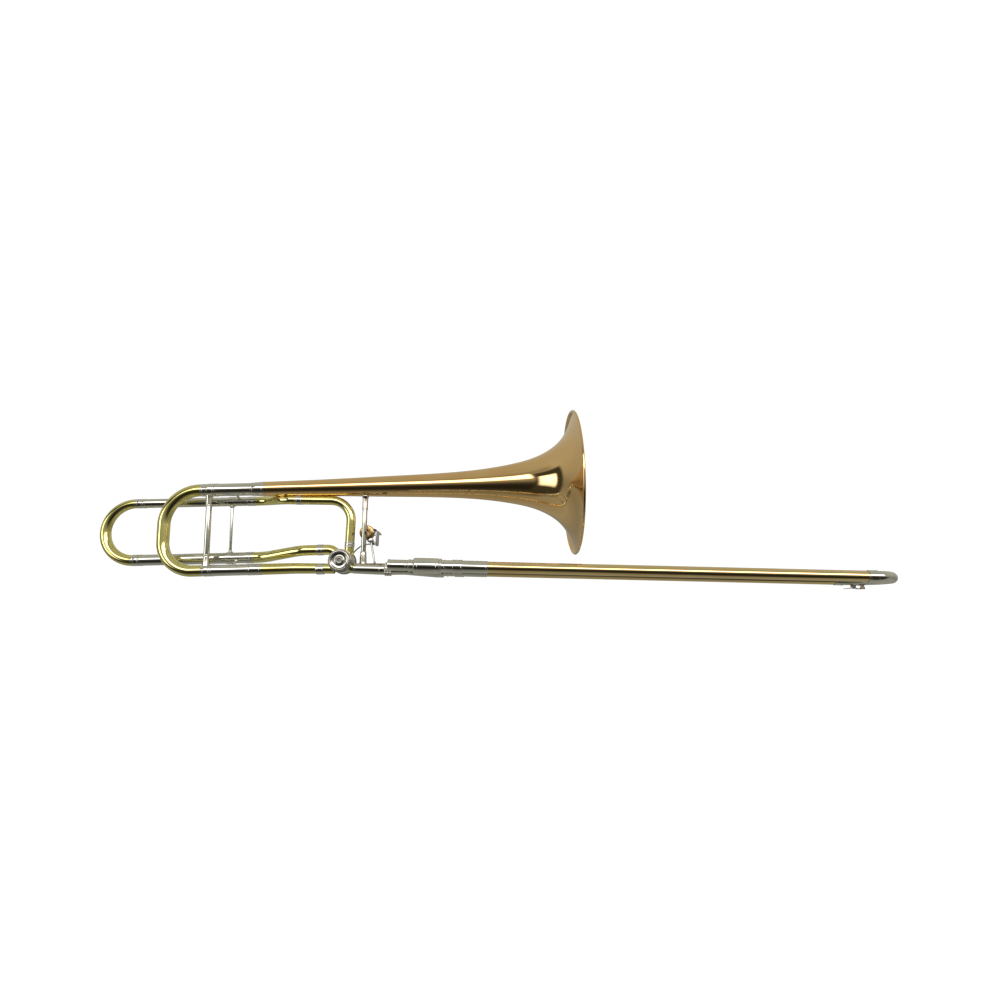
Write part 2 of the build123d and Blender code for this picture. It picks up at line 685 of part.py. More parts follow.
with BuildPart() as trigger_spring:
    sleeve(HINGE_AXIS, HINGE_FRONT + 2.0, HINGE_BACK - 0.6, 5.6, 3.4)
save(trigger_spring, "trigger_spring")

with BuildPart() as trigger_bracket:
    rod_between((-40.0, HINGE_FRONT + 2.6, 44.6), (-31.6, VALVE_Y + 2.5, 6.5), 1.7)
    rod_between((-41.4, HINGE_FRONT - 0.6, 41.6), (-41.4, HINGE_BACK - 1, 41.6), 3.2)
    sleeve(HINGE_AXIS, HINGE_FRONT - 3, HINGE_BACK + 3, DRUM_R + CLEAR, 0.0, mode=Mode.SUBTRACT)
    turn(
        FAR_TUBE,
        [(NECK_START, 0), (NECK_START, 7.64), (NECK_END - 4, 8.5), (NECK_END - 4, 0)],
        mode=Mode.SUBTRACT,
    )
save(trigger_bracket, "trigger_bracket")

with BuildPart() as trigger_pin:
    sleeve(HINGE_AXIS, HINGE_FRONT - 0.2, LEVER_BACK + 0.8, PIVOT_R, 0.0)
    sleeve(HINGE_AXIS, LEVER_BACK + 0.8, LEVER_BACK + 2.2, 3.6, 0.0)
save(trigger_pin, "trigger_pin")

PADDLE_X = -27.6
PADDLE_FOOT_Z = 32.5
PADDLE_TOP_X = -33.0
PADDLE_TOP_Z = LEVER_Z + 1.2
PADDLE_HALF = 1.1
PADDLE_FRONT = 62.0
PADDLE_BACK = 82.0
with BuildPart() as thumb_lever:
    with BuildSketch(LEVER_FACE):
        Circle(6.4)
        with Locations(((PADDLE_X - LEVER_X) / 2, 0)):
            Rectangle(PADDLE_X - LEVER_X, 4.4)
        with Locations(((LINK_X - LEVER_X) / 2, (LEVER_Z - LINK_Z) / 2)):
            Rectangle(LINK_ARM_RADIUS, 4.2, rotation=-LINK_ARM_ANGLE)
        with Locations((LINK_X - LEVER_X, LEVER_Z - LINK_Z)):
            Circle(2.9)
            Circle(LINK_SCREW_R + RUN_FIT, mode=Mode.SUBTRACT)
        Circle(PIVOT_R + RUN_FIT, mode=Mode.SUBTRACT)
    extrude(amount=LEVER_BACK - HINGE_BACK - 0.4)
    with BuildSketch(Plane(origin=(0, PADDLE_BACK, 0), x_dir=(1, 0, 0), z_dir=(0, -1, 0))):
        with BuildLine():
            paddle = FilletPolyline(
                (PADDLE_TOP_X, PADDLE_TOP_Z),
                (PADDLE_X, PADDLE_TOP_Z),
                (PADDLE_X, PADDLE_FOOT_Z + 2),
                (PADDLE_X - 1.8, PADDLE_FOOT_Z),
                radius=[3.2, 0.8],
            )
            offset(paddle, amount=PADDLE_HALF, side=Side.BOTH)
        make_face()
    extrude(amount=PADDLE_BACK - PADDLE_FRONT)
    with BuildSketch(Plane(origin=(0, LEVER_BACK, 0), x_dir=(1, 0, 0), z_dir=(0, -1, 0))):
        with BuildLine():
            strip = FilletPolyline(
                (PADDLE_TOP_X, PADDLE_TOP_Z),
                (PADDLE_X, PADDLE_TOP_Z),
                (PADDLE_X, PADDLE_TOP_Z - 4.5),
                radius=[3.2],
            )
            offset(strip, amount=PADDLE_HALF, side=Side.BOTH)
        make_face()
    extrude(amount=LEVER_BACK - PADDLE_FRONT)
save(thumb_lever, "thumb_lever")

LINK_Y = LEVER_BACK + 1.8
STOP_LINK_Y = STOP_ARM_Y + 5.6
with BuildPart() as linkage_rod:
    rod_along(
        bend_path(
            [
                Vector(LINK_X, LINK_Y, LINK_Z),
                Vector(-55.0, LINK_Y, 36.5),
                Vector(-67.5, STOP_LINK_Y, 27.5),
                Vector(STOP_X, STOP_LINK_Y, STOP_Z),
            ],
            [16, 16],
        ),
        1.05,
    )
    for eye_x, eye_y, eye_z in ((LINK_X, LINK_Y, LINK_Z), (STOP_X, STOP_LINK_Y, STOP_Z)):
        rod_between((eye_x, eye_y - 1.3, eye_z), (eye_x, eye_y + 1.3, eye_z), 2.7)
        rod_between(
            (eye_x, eye_y - 2, eye_z),
            (eye_x, eye_y + 2, eye_z),
            LINK_SCREW_R + CLEAR,
            mode=Mode.SUBTRACT,
        )
save(linkage_rod, "linkage_rod")

with BuildPart() as linkage_screws:
    rod_between((LINK_X, HINGE_BACK + 1.0, LINK_Z), (LINK_X, LINK_Y + 2.0, LINK_Z), LINK_SCREW_R)
    rod_between((LINK_X, LINK_Y + 1.3 + CLEAR, LINK_Z), (LINK_X, LINK_Y + 2.8, LINK_Z), 2.2)
    rod_between((STOP_X, STOP_LINK_Y - 1.5, STOP_Z), (STOP_X, STOP_LINK_Y + 2.0, STOP_Z), LINK_SCREW_R)
    rod_between((STOP_X, STOP_LINK_Y + 1.3 + CLEAR, STOP_Z), (STOP_X, STOP_LINK_Y + 2.7, STOP_Z), 2.2)
save(linkage_screws, "linkage_screws")

# ---------------------------------------------------------------- inner slide
with BuildPart() as mouthpiece_receiver:
    turn(
        NEAR_TUBE,
        [
            (0.6, MOUTH_R),
            (MOUTH_DEPTH, MOUTH_R),
            (RECEIVER_LENGTH, MOUTH_R - 0.4),
            (RECEIVER_LENGTH, RECEIVER_R),
            (1.2, RECEIVER_R),
            (0, RECEIVER_R - 0.5),
            (0, MOUTH_R),
        ],
    )
    sleeve(NEAR_TUBE, 0, 3.2, RECEIVER_R + 0.35, RECEIVER_R - 0.6)
save(mouthpiece_receiver, "mouthpiece_receiver")

with BuildPart() as receiver_collar:
    sleeve(NEAR_TUBE, RECEIVER_LENGTH + CLEAR, BARREL_START - CLEAR, RECEIVER_R + 0.5, INNER_R + CLEAR)
    sleeve(NEAR_TUBE, RECEIVER_LENGTH + 0.8, RECEIVER_LENGTH + 2.2, RECEIVER_R + 0.9, INNER_R + CLEAR)
save(receiver_collar, "receiver_collar")

with BuildPart() as leadpipe:
    cone_sleeve(NEAR_TUBE, RECEIVER_LENGTH + CLEAR, 230.0, 5.9, INNER_BORE - CLEAR, 0.4)
save(leadpipe, "leadpipe")

with BuildPart() as inner_slide_tubes:
    sleeve(NEAR_TUBE, RECEIVER_LENGTH + CLEAR, INNER_END, INNER_R, INNER_BORE)
    sleeve(FAR_TUBE, 2.0, INNER_END, INNER_R, INNER_BORE)
save(inner_slide_tubes, "inner_slide_tubes")

with BuildPart() as slide_stockings:
    for tube_line in (NEAR_TUBE, FAR_TUBE):
        sleeve(tube_line, STOCKING_START, INNER_END, STOCKING_R, INNER_R + CLEAR)
save(slide_stockings, "slide_stockings")

with BuildPart() as cork_barrels:
    turn(
        NEAR_TUBE,
        [
            (BARREL_START, INNER_R + CLEAR),
            (BARREL_START + 6, INNER_R + CLEAR),
            (BARREL_START + 6, BARREL_BORE),
            (BARREL_END + 3.6, BARREL_BORE),
            (BARREL_END + 3.6, BARREL_BORE + 0.4),
            (BARREL_END, BARREL_BORE + 0.4),
            (BARREL_END, BARREL_R - 0.9),
            (BARREL_END - 1.2, BARREL_R),
            (BARREL_START + 2.4, BARREL_R),
            (BARREL_START + 0.8, BARREL_R - 0.8),
            (BARREL_START, BARREL_R - 2.2),
        ],
    )
    turn(
        FAR_TUBE,
        [
            (FAR_BARREL_START, INNER_R + CLEAR),
            (BARREL_START + 6, INNER_R + CLEAR),
            (BARREL_START + 6, BARREL_BORE),
            (BARREL_END + 1.8, BARREL_BORE),
            (BARREL_END + 1.8, BARREL_R - 0.8),
            (BARREL_END + 0.6, BARREL_R),
            (BARREL_END - 10, BARREL_R),
            (FAR_BARREL_START, RECEIVER_R + 0.1),
        ],
    )
save(cork_barrels, "cork_barrels")

with BuildPart() as slide_receiver:
    turn(
        FAR_TUBE,
        [
            (LOCK_NUT_END - 4.2, TENON_R + CLEAR),
            (LOCK_NUT_END + 1.0, TENON_R + CLEAR),
            (2.0 - CLEAR, INNER_R + 0.3),
            (2.0 - CLEAR, INNER_R + CLEAR),
            (FAR_BARREL_START - CLEAR, INNER_R + CLEAR),
            (FAR_BARREL_START - CLEAR, RECEIVER_R + 0.1),
            (LOCK_NUT_END + 0.6, RECEIVER_R + 0.9),
            (LOCK_NUT_END + 0.6, COLLAR_R),
            (LOCK_NUT_END - 4.2, COLLAR_R),
        ],
    )
save(slide_receiver, "slide_receiver")

with BuildPart() as barrel_springs:
    for tube_line in (NEAR_TUBE, FAR_TUBE):
        sleeve(tube_line, BARREL_START + 6 + CLEAR, BARREL_START + 15, BARREL_BORE - 0.3, INNER_R + 0.3)
save(barrel_springs, "barrel_springs")

with BuildPart() as barrel_felts:
    for tube_line in (NEAR_TUBE, FAR_TUBE):
        sleeve(tube_line, BARREL_START + 15.1, SLEEVE_START - 0.4, BARREL_BORE - 0.3, INNER_R + 0.3)
save(barrel_felts, "barrel_felts")


def cross_brace(x, ends_radius, socket_length):
    """A brace along Y between the two slide tubes, with a socket at each end."""
    rod_between((x, ends_radius, 0), (x, SLIDE_SPACING - ends_radius, 0), BRACE_R)
    for side, step in ((0, 1), (SLIDE_SPACING, -1)):
        rod_between((x, side, 0), (x, side + step * (ends_radius + socket_length), 0), 4.8)
        ring = side + step * (ends_radius + socket_length)
        rod_between((x, ring, 0), (x, ring + step * 1.6, 0), 5.3)


with BuildPart() as inner_slide_brace:
    cross_brace(INNER_BRACE_X, RECEIVER_R, 8.0)
    sleeve(NEAR_TUBE, 0, RECEIVER_LENGTH + 10, RECEIVER_R + CLEAR, 0.0, mode=Mode.SUBTRACT)
    turn(
        FAR_TUBE,
        [(0, 0), (0, 8.3), (FAR_BARREL_START, RECEIVER_R + 0.14), (57.8, BARREL_R + 0.1), (57.8, 0)],
        mode=Mode.SUBTRACT,
    )
save(inner_slide_brace, "inner_slide_brace")

with BuildPart() as slide_lock_ring:
    ring_bore = BARREL_BORE + 0.4 + RUN_FIT
    sleeve(NEAR_TUBE, BARREL_END + 0.3, BARREL_END + 3.3, BARREL_R - 0.3, ring_bore)
    with Locations((BARREL_END + 1.8, -BARREL_R + 0.2, 0)):
        Cylinder(1.3, 3.0, rotation=(90, 0, 0))
    sleeve(NEAR_TUBE, BARREL_END, BARREL_END + 4, ring_bore, 0.0, mode=Mode.SUBTRACT)
save(slide_lock_ring, "slide_lock_ring")

with BuildPart() as bell_lock_nut:
    turn(
        FAR_TUBE,
        [
            (LOCK_NUT_START, 8.5 + RUN_FIT),
            (LOCK_NUT_START + 5.0, 8.5 + RUN_FIT),
            (LOCK_NUT_START + 5.4, COLLAR_R + RUN_FIT),
            (LOCK_NUT_END, COLLAR_R + RUN_FIT),
            (LOCK_NUT_END, LOCK_NUT_R - 0.7),
            (LOCK_NUT_END - 0.8, LOCK_NUT_R),
            (LOCK_NUT_START + 0.8, LOCK_NUT_R),
            (LOCK_NUT_START, LOCK_NUT_R - 0.7),
        ],
    )
    for notch in range(LOCK_NUT_NOTCHES):
        angle = notch * 360 / LOCK_NUT_NOTCHES
        notch_y = SLIDE_SPACING + (LOCK_NUT_R + 0.2) * cos(radians(angle))
        notch_z = (LOCK_NUT_R + 0.2) * sin(radians(angle))
        rod_between(
            (LOCK_NUT_START + 2.4, notch_y, notch_z),
            (LOCK_NUT_END - 2.4, notch_y, notch_z),
            0.5,
            mode=Mode.SUBTRACT,
        )
save(bell_lock_nut, "bell_lock_nut")

# ---------------------------------------------------------------- outer slide
with BuildPart() as outer_slide_tubes:
    for tube_line in (NEAR_TUBE, FAR_TUBE):
        sleeve(tube_line, SLEEVE_START + 1, BOW_FERRULE_START + 6, BRASS_R, BRASS_BORE)
save(outer_slide_tubes, "outer_slide_tubes")

with BuildPart() as slide_sleeves:
    for tube_line in (NEAR_TUBE, FAR_TUBE):
        sleeve(tube_line, SLEEVE_START, SLEEVE_END, SLEEVE_R, BRASS_R + CLEAR)
        sleeve(tube_line, BARREL_END + 6.0, BARREL_END + 8.4, SLEEVE_R + 0.45, BRASS_R + CLEAR)
save(slide_sleeves, "slide_sleeves")

with BuildPart() as hand_brace:
    cross_brace(OUTER_BRACE_X, SLEEVE_R, 10.0)
    for tube_line in (NEAR_TUBE, FAR_TUBE):
        sleeve(tube_line, OUTER_BRACE_X - 6.5, OUTER_BRACE_X + 6.5, SLEEVE_R + 1.0, 0.0)
        sleeve(
            tube_line,
            OUTER_BRACE_X - 9,
            OUTER_BRACE_X + 9,
            SLEEVE_R + CLEAR,
            0.0,
            mode=Mode.SUBTRACT,
        )
save(hand_brace, "hand_brace")

BOW_TUBE_START = BOW_FERRULE_START + 6 + CLEAR
BOW_LINE = bend_path(
    [
        (BOW_TUBE_START, 0, 0),
        (BOW_TIP, 0, 0),
        (BOW_TIP, SLIDE_SPACING, 0),
        (BOW_TUBE_START, SLIDE_SPACING, 0),
    ],
    [BOW_CORNER, BOW_CORNER],
)
with BuildPart() as bow:
    rod_along(BOW_LINE, BOW_R)
    rod_along(BOW_LINE, BOW_BORE, mode=Mode.SUBTRACT)
save(bow, "bow")

with BuildPart() as bow_ferrules:
    for tube_line in (NEAR_TUBE, FAR_TUBE):
        sleeve(tube_line, BOW_FERRULE_START, BOW_START, BOW_R + 0.55, BOW_R + CLEAR)
        sleeve(tube_line, BOW_FERRULE_START + 9.0, BOW_START, BOW_R + 0.75, BOW_R + CLEAR)
save(bow_ferrules, "bow_ferrules")

# ---------------------------------------------------------------- water key
KEY_Y = 79.5
KEY_PIN_R = 0.8
NIPPLE_X = KEY_X + 11.0
CORNER_X = BOW_TIP - BOW_CORNER
CORNER_Y = SLIDE_SPACING - BOW_CORNER
NIPPLE_Y = CORNER_Y + sqrt(BOW_CORNER**2 - (NIPPLE_X - CORNER_X) ** 2)

with BuildPart() as water_key_saddle:
    rod_between((NIPPLE_X, NIPPLE_Y, -4.0), (NIPPLE_X, NIPPLE_Y, -9.6), 3.0)
    rod_between((NIPPLE_X, NIPPLE_Y, -10.5), (NIPPLE_X, NIPPLE_Y, 0), 1.6, mode=Mode.SUBTRACT)
    for side in (-1, 1):
        with Locations((KEY_X, KEY_Y + side * 3.6, -9.2)):
            Box(3.6, 1.4, 5.6)
    with Locations(((KEY_X + NIPPLE_X) / 2, KEY_Y, -7.4)):
        Box(NIPPLE_X - KEY_X + 4.0, 8.6, 1.6)
    rod_along(BOW_LINE, BOW_R + CLEAR, mode=Mode.SUBTRACT)
    sleeve(FAR_TUBE, BOW_START - 6, BOW_START, BOW_R + 0.75 + CLEAR, 0.0, mode=Mode.SUBTRACT)
    rod_between(
        (KEY_X, KEY_Y - 6, KEY_PIVOT_Z),
        (KEY_X, KEY_Y + 6, KEY_PIVOT_Z),
        KEY_PIN_R + CLEAR,
        mode=Mode.SUBTRACT,
    )
save(water_key_saddle, "water_key_saddle")

with BuildPart() as water_key_pin:
    rod_between((KEY_X, KEY_Y - 4.6, KEY_PIVOT_Z), (KEY_X, KEY_Y + 4.6, KEY_PIVOT_Z), KEY_PIN_R)
save(water_key_pin, "water_key_pin")

with BuildPart() as water_key_lever:
    rod_between((KEY_X, KEY_Y - 2.4, KEY_PIVOT_Z), (KEY_X, KEY_Y + 2.4, KEY_PIVOT_Z), 1.8)
    rod_between((NIPPLE_X, NIPPLE_Y, -12.4), (NIPPLE_X, NIPPLE_Y, -13.6), 3.9)
    with BuildSketch(Plane(origin=(0, KEY_Y + 2.0, 0), x_dir=(1, 0, 0), z_dir=(0, -1, 0))):
        with BuildLine():
            Polyline(
                (NIPPLE_X, -12.5),
                (NIPPLE_X, -13.6),
                (KEY_X + 2.0, -13.2),
                (KEY_X - 13.6, -13.8),
                (KEY_X - 14.0, -12.8),
                (KEY_X - 3.0, -11.4),
                (KEY_X, -9.6),
                (KEY_X + 2.6, -11.6),
                (NIPPLE_X - 4.2, -12.5),
                close=True,
            )
        make_face()
    extrude(amount=4.0)
    rod_between(
        (KEY_X, KEY_Y - 6, KEY_PIVOT_Z),
        (KEY_X, KEY_Y + 6, KEY_PIVOT_Z),
        KEY_PIN_R + RUN_FIT,
        mode=Mode.SUBTRACT,
    )
save(water_key_lever, "water_key_lever")

with BuildPart() as water_key_cork:
    rod_between((NIPPLE_X, NIPPLE_Y, -9.9), (NIPPLE_X, NIPPLE_Y, -12.4 + CLEAR), 3.3)
save(water_key_cork, "water_key_cork")
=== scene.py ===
import json
from math import cos, pi, radians, sin, sqrt, tan

import bmesh
import bpy
from mathutils import Matrix, Vector


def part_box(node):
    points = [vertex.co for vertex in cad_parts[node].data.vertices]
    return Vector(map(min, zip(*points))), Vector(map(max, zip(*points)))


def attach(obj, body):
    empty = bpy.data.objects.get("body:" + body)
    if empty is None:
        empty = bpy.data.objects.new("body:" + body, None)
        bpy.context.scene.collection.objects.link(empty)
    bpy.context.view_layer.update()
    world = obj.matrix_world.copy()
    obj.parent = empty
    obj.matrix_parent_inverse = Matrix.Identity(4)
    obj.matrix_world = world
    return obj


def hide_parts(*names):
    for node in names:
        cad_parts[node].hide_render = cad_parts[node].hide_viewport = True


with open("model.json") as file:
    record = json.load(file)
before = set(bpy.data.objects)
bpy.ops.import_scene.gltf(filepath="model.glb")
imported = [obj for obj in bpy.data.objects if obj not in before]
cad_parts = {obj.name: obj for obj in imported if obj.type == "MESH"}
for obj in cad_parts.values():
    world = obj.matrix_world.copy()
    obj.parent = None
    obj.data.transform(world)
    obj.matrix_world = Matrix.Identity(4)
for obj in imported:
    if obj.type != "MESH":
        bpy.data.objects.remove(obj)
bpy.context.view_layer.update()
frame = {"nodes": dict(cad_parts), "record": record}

# Tenor trombone with an open-wrap F attachment, in metres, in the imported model's own frame.
# +X runs along the hand slide, +Z goes up to the bell, and the camera looks along +Y.

RECORD = frame["record"]
MM = 0.001


# ---- places read from the frame
def mount(name):
    """The record's mount of that name."""
    return next(m for m in RECORD["mounts"] if m["name"] == name)


def middle(node):
    """The centre of a node's box."""
    low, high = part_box(node)
    return (low + high) / 2


BELL_MOUTH = Vector(mount("bell_mouth")["pos_m"])
ALONG = Vector(mount("bell_mouth")["axis"]).normalized()
BELL_PLANE_Y = BELL_MOUTH.y
SLIDE_SPACING = BELL_PLANE_Y
ACROSS = Vector((0, 1, 0))
RISE = Vector((0, 0, 1))
UPWARD = ALONG.cross(ACROSS) * -1
if UPWARD.z < 0:
    UPWARD = UPWARD * -1
SLIDE_AXIS = Vector((1, 0, 0))
ORIGIN = Vector((0, 0, 0))

RIM_S = 259 * MM
BELL_ORIGIN = BELL_MOUTH - ALONG * RIM_S
LEG_SPACING = 118.1 * MM
F_DEPTH = middle("f_tuning_crook").y - BELL_PLANE_Y
F_UPPER_T = -13.6 * MM
F_SPACING = 84.9 * MM
VALVE = Vector((middle("rotor").x, BELL_PLANE_Y, middle("rotor").z))


def leg_point(s, t, depth=0.0):
    """A point s along the bell axis, t square to it and depth behind the bell plane."""
    return BELL_ORIGIN + ALONG * s + UPWARD * t + ACROSS * depth


# ---- mesh helpers
TURN_STEPS = 96
TUBE_STEPS = 48
SHARP = radians(38)
SOFTEST_TURN = radians(12)
TINY = 1e-6


def finish_piece(parts, name, body, finish, nodes):
    """Joins bmeshes to one smooth object, rides it on its body and gives it its finish."""
    mesh_data = joined(parts)
    piece = bpy.data.objects.new(name, mesh_data)
    bpy.context.scene.collection.objects.link(piece)
    for face in mesh_data.polygons:
        face.use_smooth = True
    mesh_data.set_sharp_from_angle(angle=SHARP)
    mesh_data.materials.append(MATERIALS[finish])
    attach(piece, body)
    if nodes:
        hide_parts(*nodes)
    return piece


def joined(parts):
    """One mesh of several bmeshes."""
    whole = bmesh.new()
    for part in parts:
        scratch = bpy.data.meshes.new("scratch")
        part.to_mesh(scratch)
        part.free()
        whole.from_mesh(scratch)
        bpy.data.meshes.remove(scratch)
    bmesh.ops.recalc_face_normals(whole, faces=whole.faces)
    mesh_data = bpy.data.meshes.new("piece")
    whole.to_mesh(mesh_data)
    whole.free()
    return mesh_data


def corner_curve(start, corner, end, steps):
    """Points of the curve from start to end that the corner pulls out."""
    shares = [step / steps for step in range(steps + 1)]
    return [start.lerp(corner, f).lerp(corner.lerp(end, f), f) for f in shares]


def softened(outline, soft, steps=3):
    """Rounds the corners of a closed (along, radius) outline by up to soft."""
    points = []
    count = len(outline)
    for index, corner in enumerate(outline):
        here = Vector(corner)
        to_last = Vector(outline[index - 1]) - here
        to_next = Vector(outline[(index + 1) % count]) - here
        if min(to_last.length, to_next.length) < TINY * MM:
            continue
        turn_angle = pi - to_last.angle(to_next)
        if turn_angle < SOFTEST_TURN or here.y < TINY:
            points.append(here)
            continue
        reach = min(soft, to_last.length * 0.45, to_next.length * 0.45)
        start = here + to_last.normalized() * reach
        end = here + to_next.normalized() * reach
        points += corner_curve(start, here, end, steps)
    return points


def basis(direction):
    """Two unit vectors square to a direction."""
    direction = direction.normalized()
    side = direction.cross(Vector((0, 0, 1)))
    if side.length < 0.1:
        side = direction.cross(Vector((0, 1, 0)))
    side.normalize()
    return side, side.cross(direction).normalized()


def new_ring(bm, centre, side, other, radius, steps):
    """A round ring of vertices."""
    ring = []
    for k in range(steps):
        a = 2 * pi * k / steps
        ring.append(bm.verts.new(centre + (side * cos(a) + other * sin(a)) * radius))
    return ring


def bridge(bm, first, second):
    """Faces between two rings; a ring of one vertex makes a fan."""
    if len(first) == 1 and len(second) == 1:
        return
    count = max(len(first), len(second))
    for k in range(count):
        n = (k + 1) % count
        if len(first) == 1:
            bm.faces.new((first[0], second[n], second[k]))
        elif len(second) == 1:
            bm.faces.new((first[k], first[n], second[0]))
        else:
            bm.faces.new((first[k], first[n], second[n], second[k]))


def lathe(origin, direction, outline, soft=0.3 * MM, steps=TURN_STEPS):
    """Turns a closed outline of (along, radius) points about an axis."""
    direction = direction.normalized()
    side, other = basis(direction)
    profile = softened(outline, soft) if soft else [Vector(p) for p in outline]
    bm = bmesh.new()
    rings = []
    for along, radius in profile:
        centre = origin + direction * along
        if radius < TINY:
            rings.append([bm.verts.new(centre)])
        else:
            rings.append(new_ring(bm, centre, side, other, radius, steps))
    for first, second in zip(rings, rings[1:] + rings[:1]):
        bridge(bm, first, second)
    return bm


def ring_outline(start, end, outer, bore):
    """The outline of a straight ring."""
    return [(start, bore), (start, outer), (end, outer), (end, bore)]


def band(origin, direction, start, end, outer, bore, soft=0.3 * MM, steps=TURN_STEPS):
    """A turned ring."""
    return lathe(origin, direction, ring_outline(start, end, outer, bore), soft, steps)


def bar(start, end, radius, soft=0.3 * MM, steps=TUBE_STEPS):
    """A round bar between two points."""
    reach = end - start
    outline = [(0, 0), (0, radius), (reach.length, radius), (reach.length, 0)]
    return lathe(start, reach, outline, soft, steps)


def rounded_route(points, radii, spacing=1.5 * MM):
    """Samples of a path of straight runs joined by tangent arcs, close together in the arcs."""
    samples = [points[0].copy()]
    for before, corner, after, radius in zip(points, points[1:], points[2:], radii):
        back = (before - corner).normalized()
        ahead = (after - corner).normalized()
        turn_angle = pi - back.angle(ahead)
        reach = radius * tan(turn_angle / 2)
        start = corner + back * reach
        centre = corner + (back + ahead).normalized() * (radius / cos(turn_angle / 2))
        first = start - centre
        axis = first.cross(corner + ahead * reach - centre).normalized()
        count = max(6, int(radius * turn_angle / spacing))
        for step in range(count + 1):
            samples.append(centre + Matrix.Rotation(turn_angle * step / count, 3, axis) @ first)
    samples.append(points[-1].copy())
    kept = [samples[0]]
    for sample in samples[1:]:
        if (sample - kept[-1]).length > TINY:
            kept.append(sample)
    return kept


def frames_along(samples):
    """A tangent, side and other vector at each sample, without twist."""
    tangents = []
    last = len(samples) - 1
    for index in range(len(samples)):
        before = samples[max(index - 1, 0)]
        after = samples[min(index + 1, last)]
        tangents.append((after - before).normalized())
    side = basis(tangents[0])[0]
    result = []
    for tangent in tangents:
        side = (side - tangent * side.dot(tangent)).normalized()
        result.append((tangent, side, tangent.cross(side)))
    return result


def pipe(samples, start_radius, end_radius, wall=None, steps=TUBE_STEPS):
    """A tube, or a rod when wall is None, whose radius changes evenly along the samples."""
    lengths = [0.0]
    for before, after in zip(samples, samples[1:]):
        lengths.append(lengths[-1] + (after - before).length)
    bm = bmesh.new()
    skins = []
    for inset in ([0.0] if wall is None else [0.0, wall]):
        rings = []
        for point, length, (tangent, side, other) in zip(samples, lengths, frames_along(samples)):
            radius = start_radius + (end_radius - start_radius) * length / lengths[-1] - inset
            rings.append(new_ring(bm, point, side, other, radius, steps))
        for first, second in zip(rings, rings[1:]):
            bridge(bm, first, second)
        skins.append(rings)
    if wall is None:
        bm.faces.new(list(reversed(skins[0][0])))
        bm.faces.new(skins[0][-1])
    else:
        for end in (0, -1):
            bridge(bm, skins[0][end], skins[1][end])
    return bm


# ---- materials
def node(tree, kind, **settings):
    """Adds a shader node and sets its properties."""
    made = tree.nodes.new(kind)
    for key, value in settings.items():
        setattr(made, key, value)
    return made


def set_inputs(shader_node, **values):
    """Sets a shader node's inputs; an underscore in a name stands for a space."""
    for key, value in values.items():
        shader_node.inputs[key.replace("_", " ")].default_value = value
    return shader_node


def two_tones(tree, low, high, dark, light):
    """A ramp from a dark tone at position low to a light one at high."""
    ramp = node(tree, "ShaderNodeValToRGB")
    for element, position, colour in zip(ramp.color_ramp.elements, (low, high), (dark, light)):
        element.position = position
        element.color = (*colour, 1)
    return ramp


def polished_metal(name, light, dark, roughness, patch_scale, coat=0.0, scratch=0.008):
    """Polished metal: patchy tone, uneven polish and fine buffing marks."""
    material = bpy.data.materials.new(name)
    material.use_nodes = True
    tree = material.node_tree
    tree.nodes.clear()
    output = node(tree, "ShaderNodeOutputMaterial")
    shader = node(tree, "ShaderNodeBsdfPrincipled")
    set_inputs(shader, Metallic=1.0, Coat_Weight=coat, Coat_Roughness=0.06)
    place = node(tree, "ShaderNodeTexCoord")
    patches = set_inputs(node(tree, "ShaderNodeTexNoise"), Scale=patch_scale, Detail=6.0, Roughness=0.62)
    tone = two_tones(tree, 0.3, 0.7, dark, light)
    polish = set_inputs(node(tree, "ShaderNodeMapRange"), To_Min=roughness * 0.7, To_Max=roughness * 1.5)
    stretch = set_inputs(node(tree, "ShaderNodeMapping"), Scale=(60.0, 900.0, 900.0))
    marks = set_inputs(node(tree, "ShaderNodeTexNoise"), Scale=1.0, Detail=3.0)
    bump = set_inputs(node(tree, "ShaderNodeBump"), Strength=scratch, Distance=0.0004)
    link = tree.links.new
    link(place.outputs["Object"], patches.inputs["Vector"])
    link(patches.outputs["Fac"], tone.inputs["Fac"])
    link(patches.outputs["Fac"], polish.inputs["Value"])
    link(place.outputs["Object"], stretch.inputs["Vector"])
    link(stretch.outputs["Vector"], marks.inputs["Vector"])
    link(marks.outputs["Fac"], bump.inputs["Height"])
    link(tone.outputs["Color"], shader.inputs["Base Color"])
    link(polish.outputs["Result"], shader.inputs["Roughness"])
    link(bump.outputs["Normal"], shader.inputs["Normal"])
    link(shader.outputs["BSDF"], output.inputs["Surface"])
    return material


def soft_material(name, light, dark, scale, roughness, depth):
    """Felt, cork or rubber: a grainy, dull surface."""
    material = bpy.data.materials.new(name)
    material.use_nodes = True
    tree = material.node_tree
    shader = set_inputs(tree.nodes["Principled BSDF"], Roughness=roughness)
    place = node(tree, "ShaderNodeTexCoord")
    grain = set_inputs(node(tree, "ShaderNodeTexNoise"), Scale=scale, Detail=5.0)
    tone = two_tones(tree, 0.35, 0.65, dark, light)
    bump = set_inputs(node(tree, "ShaderNodeBump"), Strength=0.5, Distance=depth)
    link = tree.links.new
    link(place.outputs["Object"], grain.inputs["Vector"])
    link(grain.outputs["Fac"], tone.inputs["Fac"])
    link(grain.outputs["Fac"], bump.inputs["Height"])
    link(tone.outputs["Color"], shader.inputs["Base Color"])
    link(bump.outputs["Normal"], shader.inputs["Normal"])
    return material


